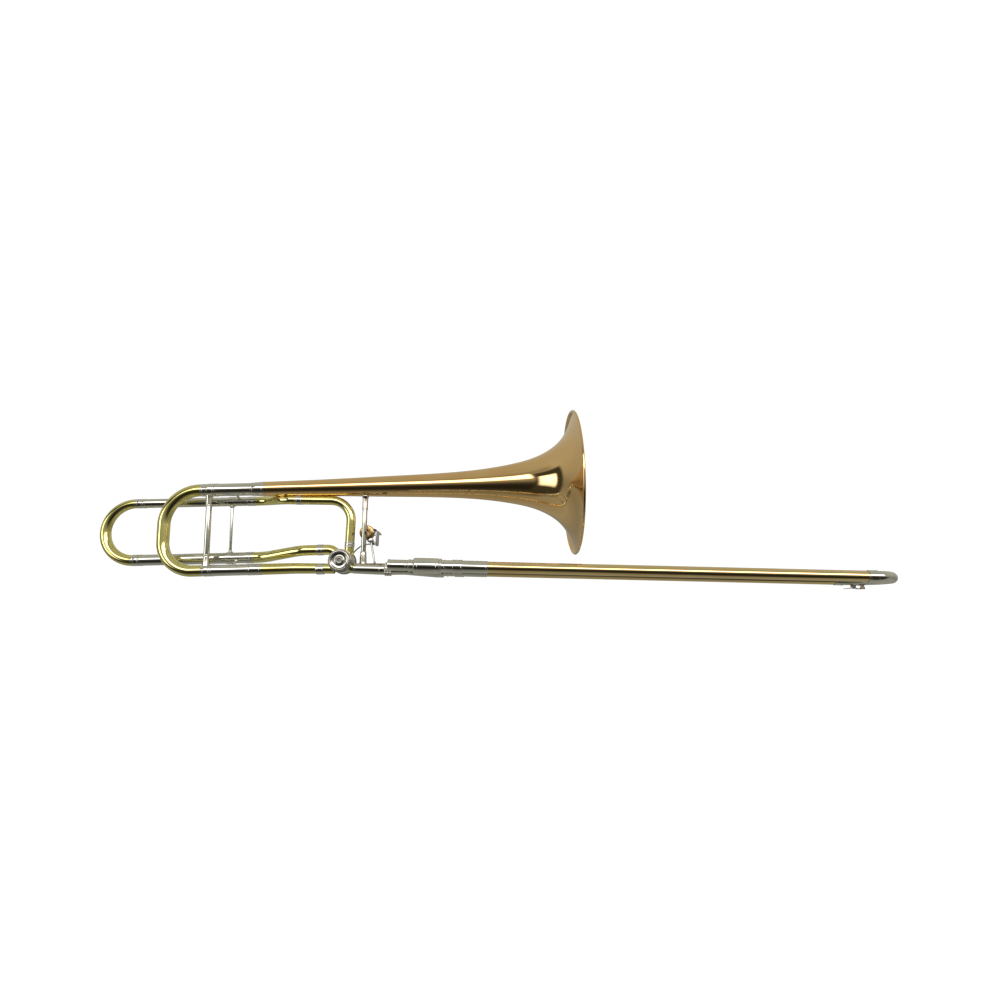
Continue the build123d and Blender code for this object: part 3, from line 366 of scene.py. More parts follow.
LACQUER = 0.15
PLATED_MARKS = 0.02
METALS = {
    "rose": ("lacquered_rose_brass", (0.86, 0.60, 0.29), (0.78, 0.50, 0.21), 0.055, 9.0, LACQUER),
    "yellow": ("lacquered_yellow_brass", (0.82, 0.76, 0.34), (0.70, 0.62, 0.20), 0.06, 14.0, LACQUER),
    "slide": ("slide_tube_brass", (0.84, 0.65, 0.33), (0.74, 0.54, 0.24), 0.06, 14.0, LACQUER),
    "nickel": ("nickel_silver", (0.74, 0.73, 0.66), (0.62, 0.61, 0.53), 0.065, 22.0),
    # Painted shade: a darker copy of nickel silver, so the valve, trigger post and water key parts look
    # shaded and reflect less light
    "shaded_nickel": ("shaded_nickel_silver", (0.50, 0.49, 0.44), (0.36, 0.35, 0.31), 0.15, 30.0),
    # Painted shade: a darker copy of yellow brass for the trigger's spring drum, standing in for the shadow
    # it sits in
    "shaded_brass": ("shaded_spring_drum_brass", (0.52, 0.36, 0.15), (0.38, 0.25, 0.10), 0.16, 30.0),
    "chrome": ("chrome_plate", (0.80, 0.81, 0.83), (0.74, 0.75, 0.77), 0.05, 25.0, 0.0, PLATED_MARKS),
    "steel": ("polished_steel", (0.50, 0.50, 0.51), (0.38, 0.38, 0.39), 0.18, 60.0, 0.0, PLATED_MARKS),
}
MATERIALS = {finish: polished_metal(*settings) for finish, settings in METALS.items()}
MATERIALS["felt"] = soft_material("felt", (0.10, 0.14, 0.08), (0.05, 0.08, 0.04), 900.0, 0.95, 0.3 * MM)
MATERIALS["cork"] = soft_material("cork", (0.55, 0.38, 0.22), (0.30, 0.18, 0.09), 700.0, 0.85, 0.3 * MM)
MATERIALS["rubber"] = soft_material("rubber", (0.04, 0.04, 0.04), (0.02, 0.02, 0.02), 500.0, 0.6, 0.1 * MM)
SLOTS = {
    "rose": "rose_brass",
    "yellow": "yellow_brass",
    "slide": "yellow_brass",
    "nickel": "nickel_silver",
    "shaded_nickel": "nickel_silver",
    "shaded_brass": "yellow_brass",
    "chrome": "chrome_plate",
    "steel": "steel",
    "felt": "felt",
    "cork": "cork",
    "rubber": "bumper_rubber",
}
for cad_node in RECORD["subparts"]:
    finish = next(key for key, slot in SLOTS.items() if slot == cad_node["material_slot"])
    holder = frame["nodes"][cad_node["node"]]
    holder.data.materials.clear()
    holder.data.materials.append(MATERIALS[finish])


# ---- sizes and outlines shared by several pieces
WALL = 0.6 * MM
LEG_PLAY = 0.06 * MM
UPPER_LEG_R = 9.3 * MM
LOWER_LEG_R = 8.15 * MM
CROOK_UPPER_R = 9.0 * MM
CROOK_LOWER_R = 8.2 * MM
F_UPPER_R = 6.75 * MM
F_LOWER_R = 8.15 * MM
TUBE_R = 7.3 * MM
BRACE_R = 3.6 * MM
BARREL_RADII = (7.4 * MM, 7.85 * MM)
SLEEVE_RADII = (8.3 * MM, 8.3 * MM)
BRASS_R = 7.62 * MM
INNER_R = 6.85 * MM
BOW_R = 7.75 * MM
CROOK_END_S = -290 * MM
SLEEVE_TO_S = -218 * MM
TAIL_S = -198 * MM
F_CROOK_S = -396 * MM
F_BRACE_S = -254.5 * MM
UPPER_AXIS = BELL_ORIGIN
LOWER_AXIS = leg_point(0, -LEG_SPACING)
MAIN_LEGS = ((UPPER_AXIS, UPPER_LEG_R), (LOWER_AXIS, LOWER_LEG_R))
F_UPPER_AXIS = leg_point(0, F_UPPER_T, F_DEPTH)
F_LOWER_AXIS = leg_point(0, F_UPPER_T - F_SPACING, F_DEPTH)
F_LEGS = ((F_UPPER_AXIS, F_UPPER_R), (F_LOWER_AXIS, F_LOWER_R))
NEAR_AXIS = ORIGIN
FAR_AXIS = Vector((0, SLIDE_SPACING, 0))
SLIDE_AXES = (NEAR_AXIS, FAR_AXIS)


def mm(*pairs, start=0):
    """Points given in millimetres, in metres, with start added to each one's first number."""
    return [((start + a) * MM, b * MM) for a, b in pairs]


def curve_through(knots, per_span=10):
    """A smooth natural cubic through (x, y) knots whose x increases, by arc parameter."""
    count = len(knots)
    t = [0.0]
    for (x0, y0), (x1, y1) in zip(knots, knots[1:]):
        t.append(t[-1] + sqrt((x1 - x0) ** 2 + (y1 - y0) ** 2))
    channels = []
    for axis in (0, 1):
        v = [k[axis] for k in knots]
        h = [t[i + 1] - t[i] for i in range(count - 1)]
        alpha = [0.0] * count
        for i in range(1, count - 1):
            alpha[i] = 3 * ((v[i + 1] - v[i]) / h[i] - (v[i] - v[i - 1]) / h[i - 1])
        low, mu, z = [1.0] * count, [0.0] * count, [0.0] * count
        for i in range(1, count - 1):
            low[i] = 2 * (t[i + 1] - t[i - 1]) - h[i - 1] * mu[i - 1]
            mu[i] = h[i] / low[i]
            z[i] = (alpha[i] - h[i - 1] * z[i - 1]) / low[i]
        c, b, d = [0.0] * count, [0.0] * count, [0.0] * count
        for i in range(count - 2, -1, -1):
            c[i] = z[i] - mu[i] * c[i + 1]
            b[i] = (v[i + 1] - v[i]) / h[i] - h[i] * (c[i + 1] + 2 * c[i]) / 3
            d[i] = (c[i + 1] - c[i]) / (3 * h[i])
        channels.append((v, b, c, d))
    points = []
    for i in range(count - 1):
        for step in range(per_span):
            u = (t[i + 1] - t[i]) * step / per_span
            point = [v[i] + b[i] * u + c[i] * u * u + d[i] * u ** 3 for v, b, c, d in channels]
            points.append(Vector(point))
    points.append(Vector(knots[-1]))
    return points


def plate(outline, back, thickness, soft=0.3 * MM, centre=ORIGIN):
    """A plate of a closed (X, Z) outline about a centre, from Y = back towards the front."""
    layers = (
        (0, soft), (0.4 * soft, 0.3 * soft), (soft, 0),
        (thickness - soft, 0), (thickness - 0.4 * soft, 0.3 * soft), (thickness, soft),
    )
    bm = bmesh.new()
    rings = []
    for level, inset in layers:
        ring = []
        for index, point in enumerate(outline):
            p = Vector(point)
            to_last = (Vector(outline[index - 1]) - p).normalized()
            to_next = (Vector(outline[(index + 1) % len(outline)]) - p).normalized()
            run = to_next - to_last
            p = p + Vector((-run.y, run.x)).normalized() * inset
            ring.append(bm.verts.new(centre + Vector((p.x, back - level, p.y))))
        rings.append(ring)
    for first, second in zip(rings, rings[1:]):
        bridge(bm, first, second)
    bm.faces.new(list(reversed(rings[0])))
    bm.faces.new(rings[-1])
    return bm


def fan(centre, radius, start, turn, steps):
    """Points of an arc about a centre in a flat outline; start and turn are in radians."""
    angles = [start + turn * k / steps for k in range(steps + 1)]
    return [centre + Vector((radius * cos(a), radius * sin(a))) for a in angles]


def round_outline(points, radii, per_arc=8):
    """A closed 2-D outline, counter-clockwise, with rounded corners."""
    result = []
    count = len(points)
    for index, corner in enumerate(points):
        here = Vector(corner)
        back = Vector(points[index - 1]) - here
        ahead = Vector(points[(index + 1) % count]) - here
        radius = radii[index]
        turn_angle = pi - back.angle(ahead)
        reach = min(radius * tan(turn_angle / 2), back.length * 0.49, ahead.length * 0.49)
        if reach < TINY:
            result.append(here)
            continue
        start = here + back.normalized() * reach
        end = here + ahead.normalized() * reach
        result += corner_curve(start, here, end, per_arc)
    return result


def socket(foot, direction, length, radius, rod_radius):
    """A turned brace socket: a flared foot, a waist and a beaded lip where the rod comes out."""
    lip = length - 1.6 * MM
    return lathe(
        foot,
        direction,
        [
            (-2.5 * MM, 0),
            (-2.5 * MM, radius * 1.12),
            (1.0 * MM, radius * 1.02),
            (length * 0.35, radius * 0.94),
            (lip - 1.4 * MM, radius * 0.94),
            (lip - 0.6 * MM, radius * 0.90),
            (lip, radius * 1.06),
            (length, radius * 1.06),
            (length + 0.5 * MM, rod_radius * 1.04),
            (length + 0.5 * MM, 0),
        ],
        0.35 * MM,
        TUBE_STEPS,
    )


# ---- bell
BELL_KNOTS = [
    (-198, 10.75), (-100, 12.8), (-24, 15.3), (59, 18.2), (118, 22.5), (166, 29.7),
    (202.3, 39.5), (226.8, 52.4), (240.4, 64.5), (250.6, 80.0), (256.5, 94.5), (259, 106.15),
]
RIM_BEAD_R = 2.0 * MM
RIM_BEAD_RADIUS = 107.95 * MM - RIM_BEAD_R
RIM_BEAD_S = RIM_S + WALL - RIM_BEAD_R


def build_bell():
    """The bell: a thin spun flare whose edge is rolled back round a wire."""
    outer = curve_through(mm(*BELL_KNOTS), 16)
    wall = 0.5 * MM
    inner = []
    for index, point in enumerate(outer):
        before = outer[max(index - 1, 0)]
        after = outer[min(index + 1, len(outer) - 1)]
        run = (after - before).normalized()
        inner.append(point + Vector((run.y, -run.x)) * wall)
    while outer[-1].y > RIM_BEAD_RADIUS - RIM_BEAD_R * 0.7:
        outer.pop()
    bead_centre = Vector((RIM_BEAD_S, RIM_BEAD_RADIUS))
    bead = fan(bead_centre, RIM_BEAD_R, radians(250), radians(-310), 26)
    inner = [p for p in inner if p.y < bead[-1].y - 0.2 * MM and p.x < bead[-1].x]
    outline = [(p.x, p.y) for p in outer + bead + list(reversed(inner))]
    flare = lathe(BELL_ORIGIN, ALONG, outline, 0, 192)
    finish_piece([flare], "bell_flare", "bell_section", "rose", ["bell", "bell_rim_wire"])


def build_bell_ferrule():
    """The tapered sleeve where the bell joins the tuning slide, with its turned rings."""
    outline = mm(
        (0, 8.8), (0, 9.85), (1.6, 9.95), (2.0, 9.62), (2.6, 9.62), (3.0, 9.85), (15.8, 10.75),
        (16.2, 10.5), (16.8, 10.5), (17.2, 10.95), (19.4, 11.0), (20, 10.7), (20, 9.9),
        start=SLEEVE_TO_S / MM,
    )
    sleeve = lathe(UPPER_AXIS, ALONG, outline, 0.18 * MM)
    finish_piece([sleeve], "bell_joint_sleeve", "bell_section", "nickel", ["bell_ferrule"])


def build_lower_leg_ferrule():
    """The ring that joins the lower leg to the tube towards the valve."""
    outline = mm(
        (0, 7.6), (0, 8.5), (1.6, 8.5), (2.0, 8.28), (2.6, 8.28), (3.0, 8.42), (16.0, 8.36),
        (16.4, 8.2), (17.0, 8.2), (17.4, 8.36), (19.6, 8.3), (20, 8.18), (20, 7.4),
        start=SLEEVE_TO_S / MM,
    )
    ring = lathe(LOWER_AXIS, ALONG, outline, 0.15 * MM)
    finish_piece([ring], "lower_leg_joint_sleeve", "bell_section", "nickel", ["lower_leg_ferrule"])


def on_legs(legs, profile, soft, steps=TURN_STEPS):
    """A turned ring on each leg; the profile's radii start from the leg's own radius."""
    parts = []
    for axis, radius in legs:
        outline = mm(*[(along, radius / MM + step) for along, step in profile])
        parts.append(lathe(axis, ALONG, outline, soft, steps))
    return parts


def build_outer_legs():
    """The two nickel outer legs of the main tuning slide, with a beaded mouth."""
    profile = [
        (-269.6, -0.6), (-269.6, 0.2), (-269.2, 0.4), (-267.2, 0.4), (-266.8, 0.05),
        (-266.2, 0.05), (-265.8, 0), (-218, 0), (-218, -0.6),
    ]
    parts = on_legs(MAIN_LEGS, profile, 0.15 * MM)
    finish_piece(parts, "tuning_slide_outer_legs", "bell_section", "nickel", ["main_outer_legs"])


# ---- main tuning slide
CROOK_REACH_S = -342.4 * MM
CROOK_BENDS = [50 * MM, 44 * MM]


def build_main_crook():
    """The tuning slide's tapered bow."""
    points = [
        leg_point(CROOK_END_S + 6 * MM, 0),
        leg_point(CROOK_REACH_S, 0),
        leg_point(CROOK_REACH_S, -LEG_SPACING),
        leg_point(CROOK_END_S + 6 * MM, -LEG_SPACING),
    ]
    bow = pipe(rounded_route(points, CROOK_BENDS), CROOK_UPPER_R, CROOK_LOWER_R, WALL, 64)
    finish_piece([bow], "tuning_crook", "main_tuning_slide", "yellow", ["main_tuning_crook"])


def inner_legs(legs, start, end):
    """Tubes that run inside the legs of a tuning slide, with a thin film of play."""
    parts = []
    for axis, radius in legs:
        outer = radius - WALL - LEG_PLAY
        parts.append(band(axis, ALONG, start, end, outer, outer - WALL))
    return parts


def build_main_slide_legs():
    """The bright inner legs that run in the outer legs."""
    parts = inner_legs(MAIN_LEGS, CROOK_END_S, -222 * MM)
    finish_piece(parts, "tuning_slide_inner_legs", "main_tuning_slide", "chrome", ["main_slide_legs"])


def build_main_slide_ferrules():
    """The moving ferrules with their stepped collars and ring lines."""
    profile = [
        (-290, -1.0), (-290, -0.25), (-289.6, 0), (-288.4, 0), (-288.1, -0.18), (-287.6, -0.18),
        (-287.3, 0), (-280.9, 0), (-280.5, 0.35), (-273.6, 0.35), (-273.2, 0.12), (-272.6, 0.12),
        (-272.2, 0.35), (-270.4, 0.35), (-270, 0.1), (-270, -0.6),
    ]
    parts = on_legs(MAIN_LEGS, profile, 0.15 * MM)
    finish_piece(parts, "tuning_slide_ferrules", "main_tuning_slide", "nickel", ["main_slide_ferrules"])


def build_main_slide_brace():
    """The round brace across the tuning slide and its two sockets."""
    brace_s = -279 * MM
    top = leg_point(brace_s, -UPPER_LEG_R)
    bottom = leg_point(brace_s, LOWER_LEG_R - LEG_SPACING)
    down = (bottom - top).normalized()
    rod = bar(top + down * 3 * MM, bottom - down * 3 * MM, 4.1 * MM)
    finish_piece([rod], "tuning_slide_brace_rod", "main_tuning_slide", "nickel", ["main_slide_brace"])
    sockets = [
        socket(top - down * 0.2 * MM, down, 14.8 * MM, 5.0 * MM, 4.1 * MM),
        socket(bottom + down * 0.2 * MM, -down, 14.8 * MM, 5.0 * MM, 4.1 * MM),
    ]
    cad_names = ["main_slide_brace_sockets"]
    finish_piece(sockets, "tuning_slide_brace_cups", "main_tuning_slide", "nickel", cad_names)


# ---- tubes to the valve
CASING_BORE_R = 14.9 * MM
MAIN_PORT = VALVE + Vector((-13, 0, -10.7)) * MM
F_DROP_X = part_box("valve_tube_ferrules")[1].x - F_UPPER_R - 0.45 * MM
F_RUN_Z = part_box("f_upper_tube")[1].z - F_UPPER_R - 1.0 * MM


def seated(tube, direction):
    """Draws a tube's end back along its own line to the bore of the valve's casing."""
    run = Vector((direction.x, direction.z)).normalized()
    for v in tube.verts:
        place = Vector((v.co.x - VALVE.x, v.co.z - VALVE.z))
        if place.length < CASING_BORE_R:
            ahead = place.dot(run)
            back = ahead + sqrt(ahead * ahead - place.length_squared + CASING_BORE_R * CASING_BORE_R)
            v.co -= Vector((run.x, 0, run.y)) * back
    return tube


def build_main_valve_tube():
    """The tube from the tuning slide's lower leg into the valve."""
    points = [
        leg_point(TAIL_S - 3 * MM, -LEG_SPACING),
        leg_point(-150 * MM, -LEG_SPACING),
        MAIN_PORT + Vector((-12, 0, 0)) * MM,
        MAIN_PORT + Vector((3, 0, 0)) * MM,
    ]
    tube = pipe(rounded_route(points, [200 * MM, 120 * MM]), LOWER_LEG_R, TUBE_R, WALL)
    tube = seated(tube, SLIDE_AXIS)
    finish_piece([tube], "valve_entry_tube", "bell_section", "yellow", ["main_valve_tube"])


def ferrule_ring(centre, direction, radius, half):
    """A small solder ferrule of that half length with two ring lines."""
    r, h = radius / MM, half / MM
    outline = mm(
        (-h, r - 0.3), (-h, r + 0.22), (-h + 0.5, r + 0.4), (-h + 1.6, r + 0.4), (-h + 1.9, r + 0.24),
        (-h + 2.4, r + 0.24), (-h + 2.7, r + 0.4), (h - 2.7, r + 0.4), (h - 2.4, r + 0.24),
        (h - 1.9, r + 0.24), (h - 1.6, r + 0.4), (h - 0.5, r + 0.4), (h, r + 0.22), (h, r - 0.3),
    )
    return lathe(centre, direction, outline, 0.12 * MM, 64)


def f_upper_route():
    """The centreline of the F tube from its slide leg, over and down into the valve."""
    start = F_UPPER_AXIS + ALONG * SLEEVE_TO_S
    points = [
        start - ALONG * 3 * MM,
        start + ALONG * 13 * MM,
        Vector((-168 * MM, BELL_PLANE_Y, F_RUN_Z)),
        Vector((F_DROP_X, BELL_PLANE_Y, F_RUN_Z + 1.0 * MM)),
        Vector((F_DROP_X, BELL_PLANE_Y, VALVE.z + 5 * MM)),
    ]
    return rounded_route(points, [40 * MM, 40 * MM, 30 * MM])


def f_lower_route():
    """The centreline of the F tube that returns from its lower slide leg to the valve."""
    start = F_LOWER_AXIS + ALONG * (SLEEVE_TO_S + 1 * MM)
    points = [
        start - ALONG * 4 * MM,
        start + ALONG * 13 * MM,
        Vector((-140 * MM, BELL_PLANE_Y, 24.0 * MM)),
        Vector((-94 * MM, BELL_PLANE_Y, 26.5 * MM)),
        VALVE + Vector((-7.5, 0, 9.0)) * MM,
    ]
    return rounded_route(points, [60 * MM, 60 * MM, 14 * MM])


def build_f_tubes():
    """The two bent tubes between the F tuning slide and the valve."""
    upper = seated(pipe(f_upper_route(), F_UPPER_R, F_UPPER_R, WALL), Vector((0, 0, -1)))
    finish_piece([upper], "f_upper_bent_tube", "bell_section", "yellow", ["f_upper_tube"])
    lower = seated(pipe(f_lower_route(), F_LOWER_R, TUBE_R, WALL), Vector((1, 0, -1)))
    finish_piece([lower], "f_lower_bent_tube", "bell_section", "yellow", ["f_lower_tube"])


def build_tube_ferrules():
    """The small nickel ferrules on the tubes near the valve."""
    run = Vector((-146.7 * MM, BELL_PLANE_Y, F_RUN_Z + 0.25 * MM))
    drop = Vector((F_DROP_X, BELL_PLANE_Y, 34 * MM))
    rings = [
        ferrule_ring(run, SLIDE_AXIS, F_UPPER_R, 5 * MM),
        ferrule_ring(drop, Vector((0, 0, 1)), F_UPPER_R, 4 * MM),
    ]
    finish_piece(rings, "f_tube_ferrules", "bell_section", "nickel", ["valve_tube_ferrules"])


def nearest_on(route, x):
    """The point of a route at that X, and the route's direction there."""
    for first, second in zip(route, route[1:]):
        if min(first.x, second.x) <= x <= max(first.x, second.x):
            f = (x - first.x) / (second.x - first.x)
            return first.lerp(second, f), (second - first).normalized()
    return route[-1], SLIDE_AXIS


def build_port_ferrules():
    """The solder ferrules on the two tubes that enter the valve from the left."""
    lower_centre, lower_way = nearest_on(f_lower_route(), -111 * MM)
    main_centre = Vector((-109 * MM, BELL_PLANE_Y, MAIN_PORT.z - 0.75 * MM))
    rings = [
        ferrule_ring(lower_centre, lower_way, 7.62 * MM, 4.5 * MM),
        ferrule_ring(main_centre, (MAIN_PORT - main_centre).normalized(), 7.72 * MM, 5.5 * MM),
    ]
    finish_piece(rings, "valve_port_ferrules", "bell_section", "nickel", [])


# ---- F tuning slide
def build_f_outer_legs():
    """The nickel outer legs of the F tuning slide."""
    profile = [
        (-384.6, -0.6), (-384.6, 0.2), (-384.2, 0.4), (-382.2, 0.4), (-381.8, 0), (-231, 0),
        (-230.6, 0.35), (-224.6, 0.35), (-224.2, 0.15), (-223.6, 0.15), (-223.2, 0.35),
        (-219.4, 0.35), (-219, 0.15), (-219, -0.6),
    ]
    parts = on_legs(F_LEGS, profile, 0.15 * MM, 64)
    finish_piece(parts, "f_slide_outer_legs", "bell_section", "nickel", ["f_outer_legs"])


def build_f_crook():
    """The F tuning slide's half-round bow."""
    reach = F_CROOK_S - F_SPACING / 2
    points = [
        F_UPPER_AXIS + ALONG * (F_CROOK_S + 5 * MM),
        F_UPPER_AXIS + ALONG * reach,
        F_LOWER_AXIS + ALONG * reach,
        F_LOWER_AXIS + ALONG * (F_CROOK_S + 5 * MM),
    ]
    radius = F_SPACING / 2 - 0.05 * MM
    bow = pipe(rounded_route(points, [radius, radius]), F_UPPER_R, F_LOWER_R, WALL, 64)
    finish_piece([bow], "f_crook", "f_tuning_slide", "yellow", ["f_tuning_crook"])


def build_f_slide_legs():
    """The F slide's bright inner legs and its moving ferrules."""
    legs = inner_legs(F_LEGS, F_CROOK_S, -300 * MM)
    profile = [
        (-396, -0.7), (-396, 0.1), (-395.6, 0.25), (-393.6, 0.25), (-393.3, 0.08), (-392.8, 0.08),
        (-392.5, 0.25), (-387.4, 0.25), (-387.1, 0.08), (-386.6, 0.08), (-386.3, 0.25),
        (-385.3, 0.25), (-385, 0), (-385, -0.64),
    ]
    rings = on_legs(F_LEGS, profile, 0.12 * MM, 64)
    finish_piece(legs, "f_slide_inner_legs", "f_tuning_slide", "chrome", ["f_slide_legs"])
    finish_piece(rings, "f_slide_rings", "f_tuning_slide", "nickel", ["f_slide_ferrules"])


def build_f_brace():
    """The thin brace between the F legs, with a saddle band on each leg."""
    top = F_UPPER_AXIS + ALONG * F_BRACE_S
    bottom = F_LOWER_AXIS + ALONG * F_BRACE_S
    down = (bottom - top).normalized()
    parts = [bar(top + down * F_UPPER_R, bottom - down * F_LOWER_R, 2.1 * MM)]
    for centre, way, radius in ((top, down, F_UPPER_R), (bottom, -down, F_LOWER_R)):
        r = radius / MM
        saddle = mm(
            (-4.5, r + 0.05), (-4.5, r + 0.6), (-4, r + 0.8), (4, r + 0.8), (4.5, r + 0.6), (4.5, r + 0.05),
        )
        parts.append(lathe(centre, ALONG, saddle, 0.2 * MM, 64))
        collar = mm((-0.5, 0), (-0.5, 3.6), (0.9, 3.6), (1.8, 2.7), (2.6, 2.6), (3.2, 2.15), (3.2, 0))
        parts.append(lathe(centre + way * radius, way, collar, 0.25 * MM, 40))
    finish_piece(parts, "f_slide_brace", "bell_section", "nickel", ["f_brace"])


def build_standoffs():
    """The short posts that hold the F slide behind the main slide."""
    standoff_s = -243 * MM
    parts = []
    for t_main, t_f, main_r, f_r in (
        (0, F_UPPER_T, UPPER_LEG_R, F_UPPER_R),
        (-LEG_SPACING, F_UPPER_T - F_SPACING, LOWER_LEG_R, F_LOWER_R),
    ):
        start = leg_point(standoff_s, t_main)
        end = leg_point(standoff_s, t_f, F_DEPTH)
        way = (end - start).normalized()
        gap = (end - start).length
        outline = [
            (main_r - 0.5 * MM, 0), (main_r - 0.5 * MM, 2.6 * MM), (main_r + 1.2 * MM, 2.5 * MM),
            (main_r + 1.8 * MM, 1.9 * MM), (gap - f_r - 1.8 * MM, 1.9 * MM), (gap - f_r - 1.2 * MM, 2.5 * MM),
            (gap - f_r + 0.5 * MM, 2.6 * MM), (gap - f_r + 0.5 * MM, 0),
        ]
        parts.append(lathe(start, way, outline, 0.3 * MM, 40))
    finish_piece(parts, "slide_standoffs", "bell_section", "nickel", ["f_standoffs"])


# ---- rotary valve
CAP_TEETH = 60
REST_ARM = 47.8
VALVE_TURN = 90
POST_LEAD = 62
POST_CIRCLE = 9.6 * MM
STOP_ARM_LENGTH = 7


def on_stop_arm(depth):
    """The linkage's place on the stop arm, depth behind the bell plane."""
    arm = radians(REST_ARM)
    reach = STOP_ARM_LENGTH * MM
    return Vector((VALVE.x + reach * cos(arm), BELL_PLANE_Y + depth, VALVE.z + reach * sin(arm)))


def build_valve_casing():
    """The valve's casing, with a bead at each end."""
    outline = mm(
        (-17, 14.5), (-17, 16.6), (-16.6, 17), (-14.4, 17), (-14, 16.7), (-13.4, 16.7), (-13, 17), (13.2, 17),
        (13.6, 16.7), (14, 17.2), (14.4, 17.8), (16.6, 17.8), (17, 17.4), (17, 14.5),
    )
    shell = lathe(VALVE, ACROSS, outline, 0.2 * MM)
    # The casing, cap, back bearing and stop arm take the darker nickel silver copy, which is painted shade
    finish_piece([shell], "valve_body", "bell_section", "shaded_nickel", ["valve_casing"])


def build_valve_cap():
    """The screw cap: a knurled edge, a raised ring, a dished face and a small boss."""
    outline = mm(
        (-21.6, 2.2), (-21.6, 4.6), (-21.1, 5.3), (-20.2, 6.0), (-19.9, 6.9), (-19.8, 8.2), (-20.2, 10.4),
        (-20.7, 11.6), (-21.5, 12.4), (-21.8, 13.2), (-21.6, 14.2), (-20.6, 15.2), (-20.1, 15.4),
        (-17.9, 15.4), (-17.4, 15.7), (-17.05, 15.7), (-17.05, 13.6), (-18.4, 13.4), (-18.4, 2.2),
    )
    face = lathe(VALVE, ACROSS, outline, 0.25 * MM, 120)
    boss = mm((-20.4, 0), (-20.4, 1.4), (-19.6, 2.25), (-18.2, 2.25), (-18.2, 0))
    parts = [face, lathe(VALVE, ACROSS, boss, 0.2 * MM, 40)]
    side, other = basis(ACROSS)
    for k in range(CAP_TEETH):
        a = 2 * pi * k / CAP_TEETH
        spoke = side * cos(a) + other * sin(a)
        start = VALVE + spoke * 15.35 * MM - ACROSS * 20.1 * MM
        parts.append(bar(start, start + ACROSS * 2.1 * MM, 0.42 * MM, 0.15 * MM, 8))
    finish_piece(parts, "valve_screw_cap", "bell_section", "shaded_nickel", ["valve_cap"])


def build_bearing_plate():
    """The back bearing with its two stop posts."""
    outline = mm(
        (12.9, 2.9), (12.9, 14.1), (17.05, 14.1), (17.05, 15.6), (17.5, 15.9), (18.6, 15.9), (19, 15.4),
        (19.4, 12.6), (20, 12.2), (20, 7), (19.6, 6.4), (19.6, 2.9),
    )
    parts = [lathe(VALVE, ACROSS, outline, 0.25 * MM)]
    for x, z in post_places():
        foot = Vector((x, BELL_PLANE_Y + 19 * MM, z))
        post = mm((0, 0), (0, 3.2), (1, 3.2), (1.4, 2.9), (3.6, 2.9), (4, 2.6), (4, 0))
        parts.append(lathe(foot, ACROSS, post, 0.2 * MM, 40))
    finish_piece(parts, "valve_back_bearing", "bell_section", "shaded_nickel", ["bearing_plate"])


def post_places():
    """The X and Z of the two stop posts."""
    return [
        (VALVE.x + POST_CIRCLE * cos(radians(a)), VALVE.z + POST_CIRCLE * sin(radians(a)))
        for a in (REST_ARM - POST_LEAD, REST_ARM + VALVE_TURN + POST_LEAD)
    ]


def build_bumpers():
    """The rubber bumpers on the stop posts."""
    parts = []
    for x, z in post_places():
        foot = Vector((x, BELL_PLANE_Y + 23.02 * MM, z))
        outline = mm((0, 0), (0, 2.1), (0.5, 2.4), (2.7, 2.4), (3.2, 2.0), (3.38, 1.2), (3.38, 0))
        parts.append(lathe(foot, ACROSS, outline, 0.25 * MM, 40))
    finish_piece(parts, "valve_bumpers", "bell_section", "rubber", ["stop_bumpers"])


def build_stop_arm():
    """The rotor's stop arm, a pear-shaped plate clamped on the rotor's shaft."""
    arm = radians(REST_ARM)
    tip = Vector((STOP_ARM_LENGTH * cos(arm), STOP_ARM_LENGTH * sin(arm)))
    hub = fan(Vector((0, 0)), 4.6, arm + radians(75), radians(210), 32)
    outline = mm(*hub, *fan(tip, 2.6, arm - radians(80), radians(160), 16))
    centre = Vector((VALVE.x, 0, VALVE.z))
    body = plate(outline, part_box("stop_arm")[1].y, 2.6 * MM, 0.35 * MM, centre)
    finish_piece([body], "rotor_stop_arm", "valve_rotor", "shaded_nickel", ["stop_arm"])


# ---- neckpipe and bell lock
def build_neckpipe():
    """The neckpipe with its stepped end for the slide, and the tube out of the valve."""
    cone = mm(
        (-61.5, 6.4), (-61.5, 7.45), (-61, 7.6), (-59.6, 7.64), (-59.2, 7.42), (-58.6, 7.44), (-58.2, 7.62),
        (-24.6, 8.36), (-24.2, 8.2), (-23.6, 8.2), (-23.2, 8.38), (-20.5, 8.45), (-16.9, 8.35), (-16.5, 8.1),
        (-16.5, 7.2), (-5.3, 7.2), (-5.3, 6.4),
    )
    tube = lathe(FAR_AXIS, SLIDE_AXIS, cone, 0.12 * MM)
    finish_piece([tube], "neckpipe_tube", "bell_section", "nickel", ["neckpipe"])
    start = Vector((VALVE.x + 13 * MM, BELL_PLANE_Y, 0))
    exit_tube = pipe([start, Vector((-58.5 * MM, BELL_PLANE_Y, 0))], 7.0 * MM, 7.0 * MM, WALL)
    exit_tube = seated(exit_tube, -SLIDE_AXIS)
    finish_piece([exit_tube], "valve_exit_tube", "bell_section", "yellow", ["neckpipe_elbow"])


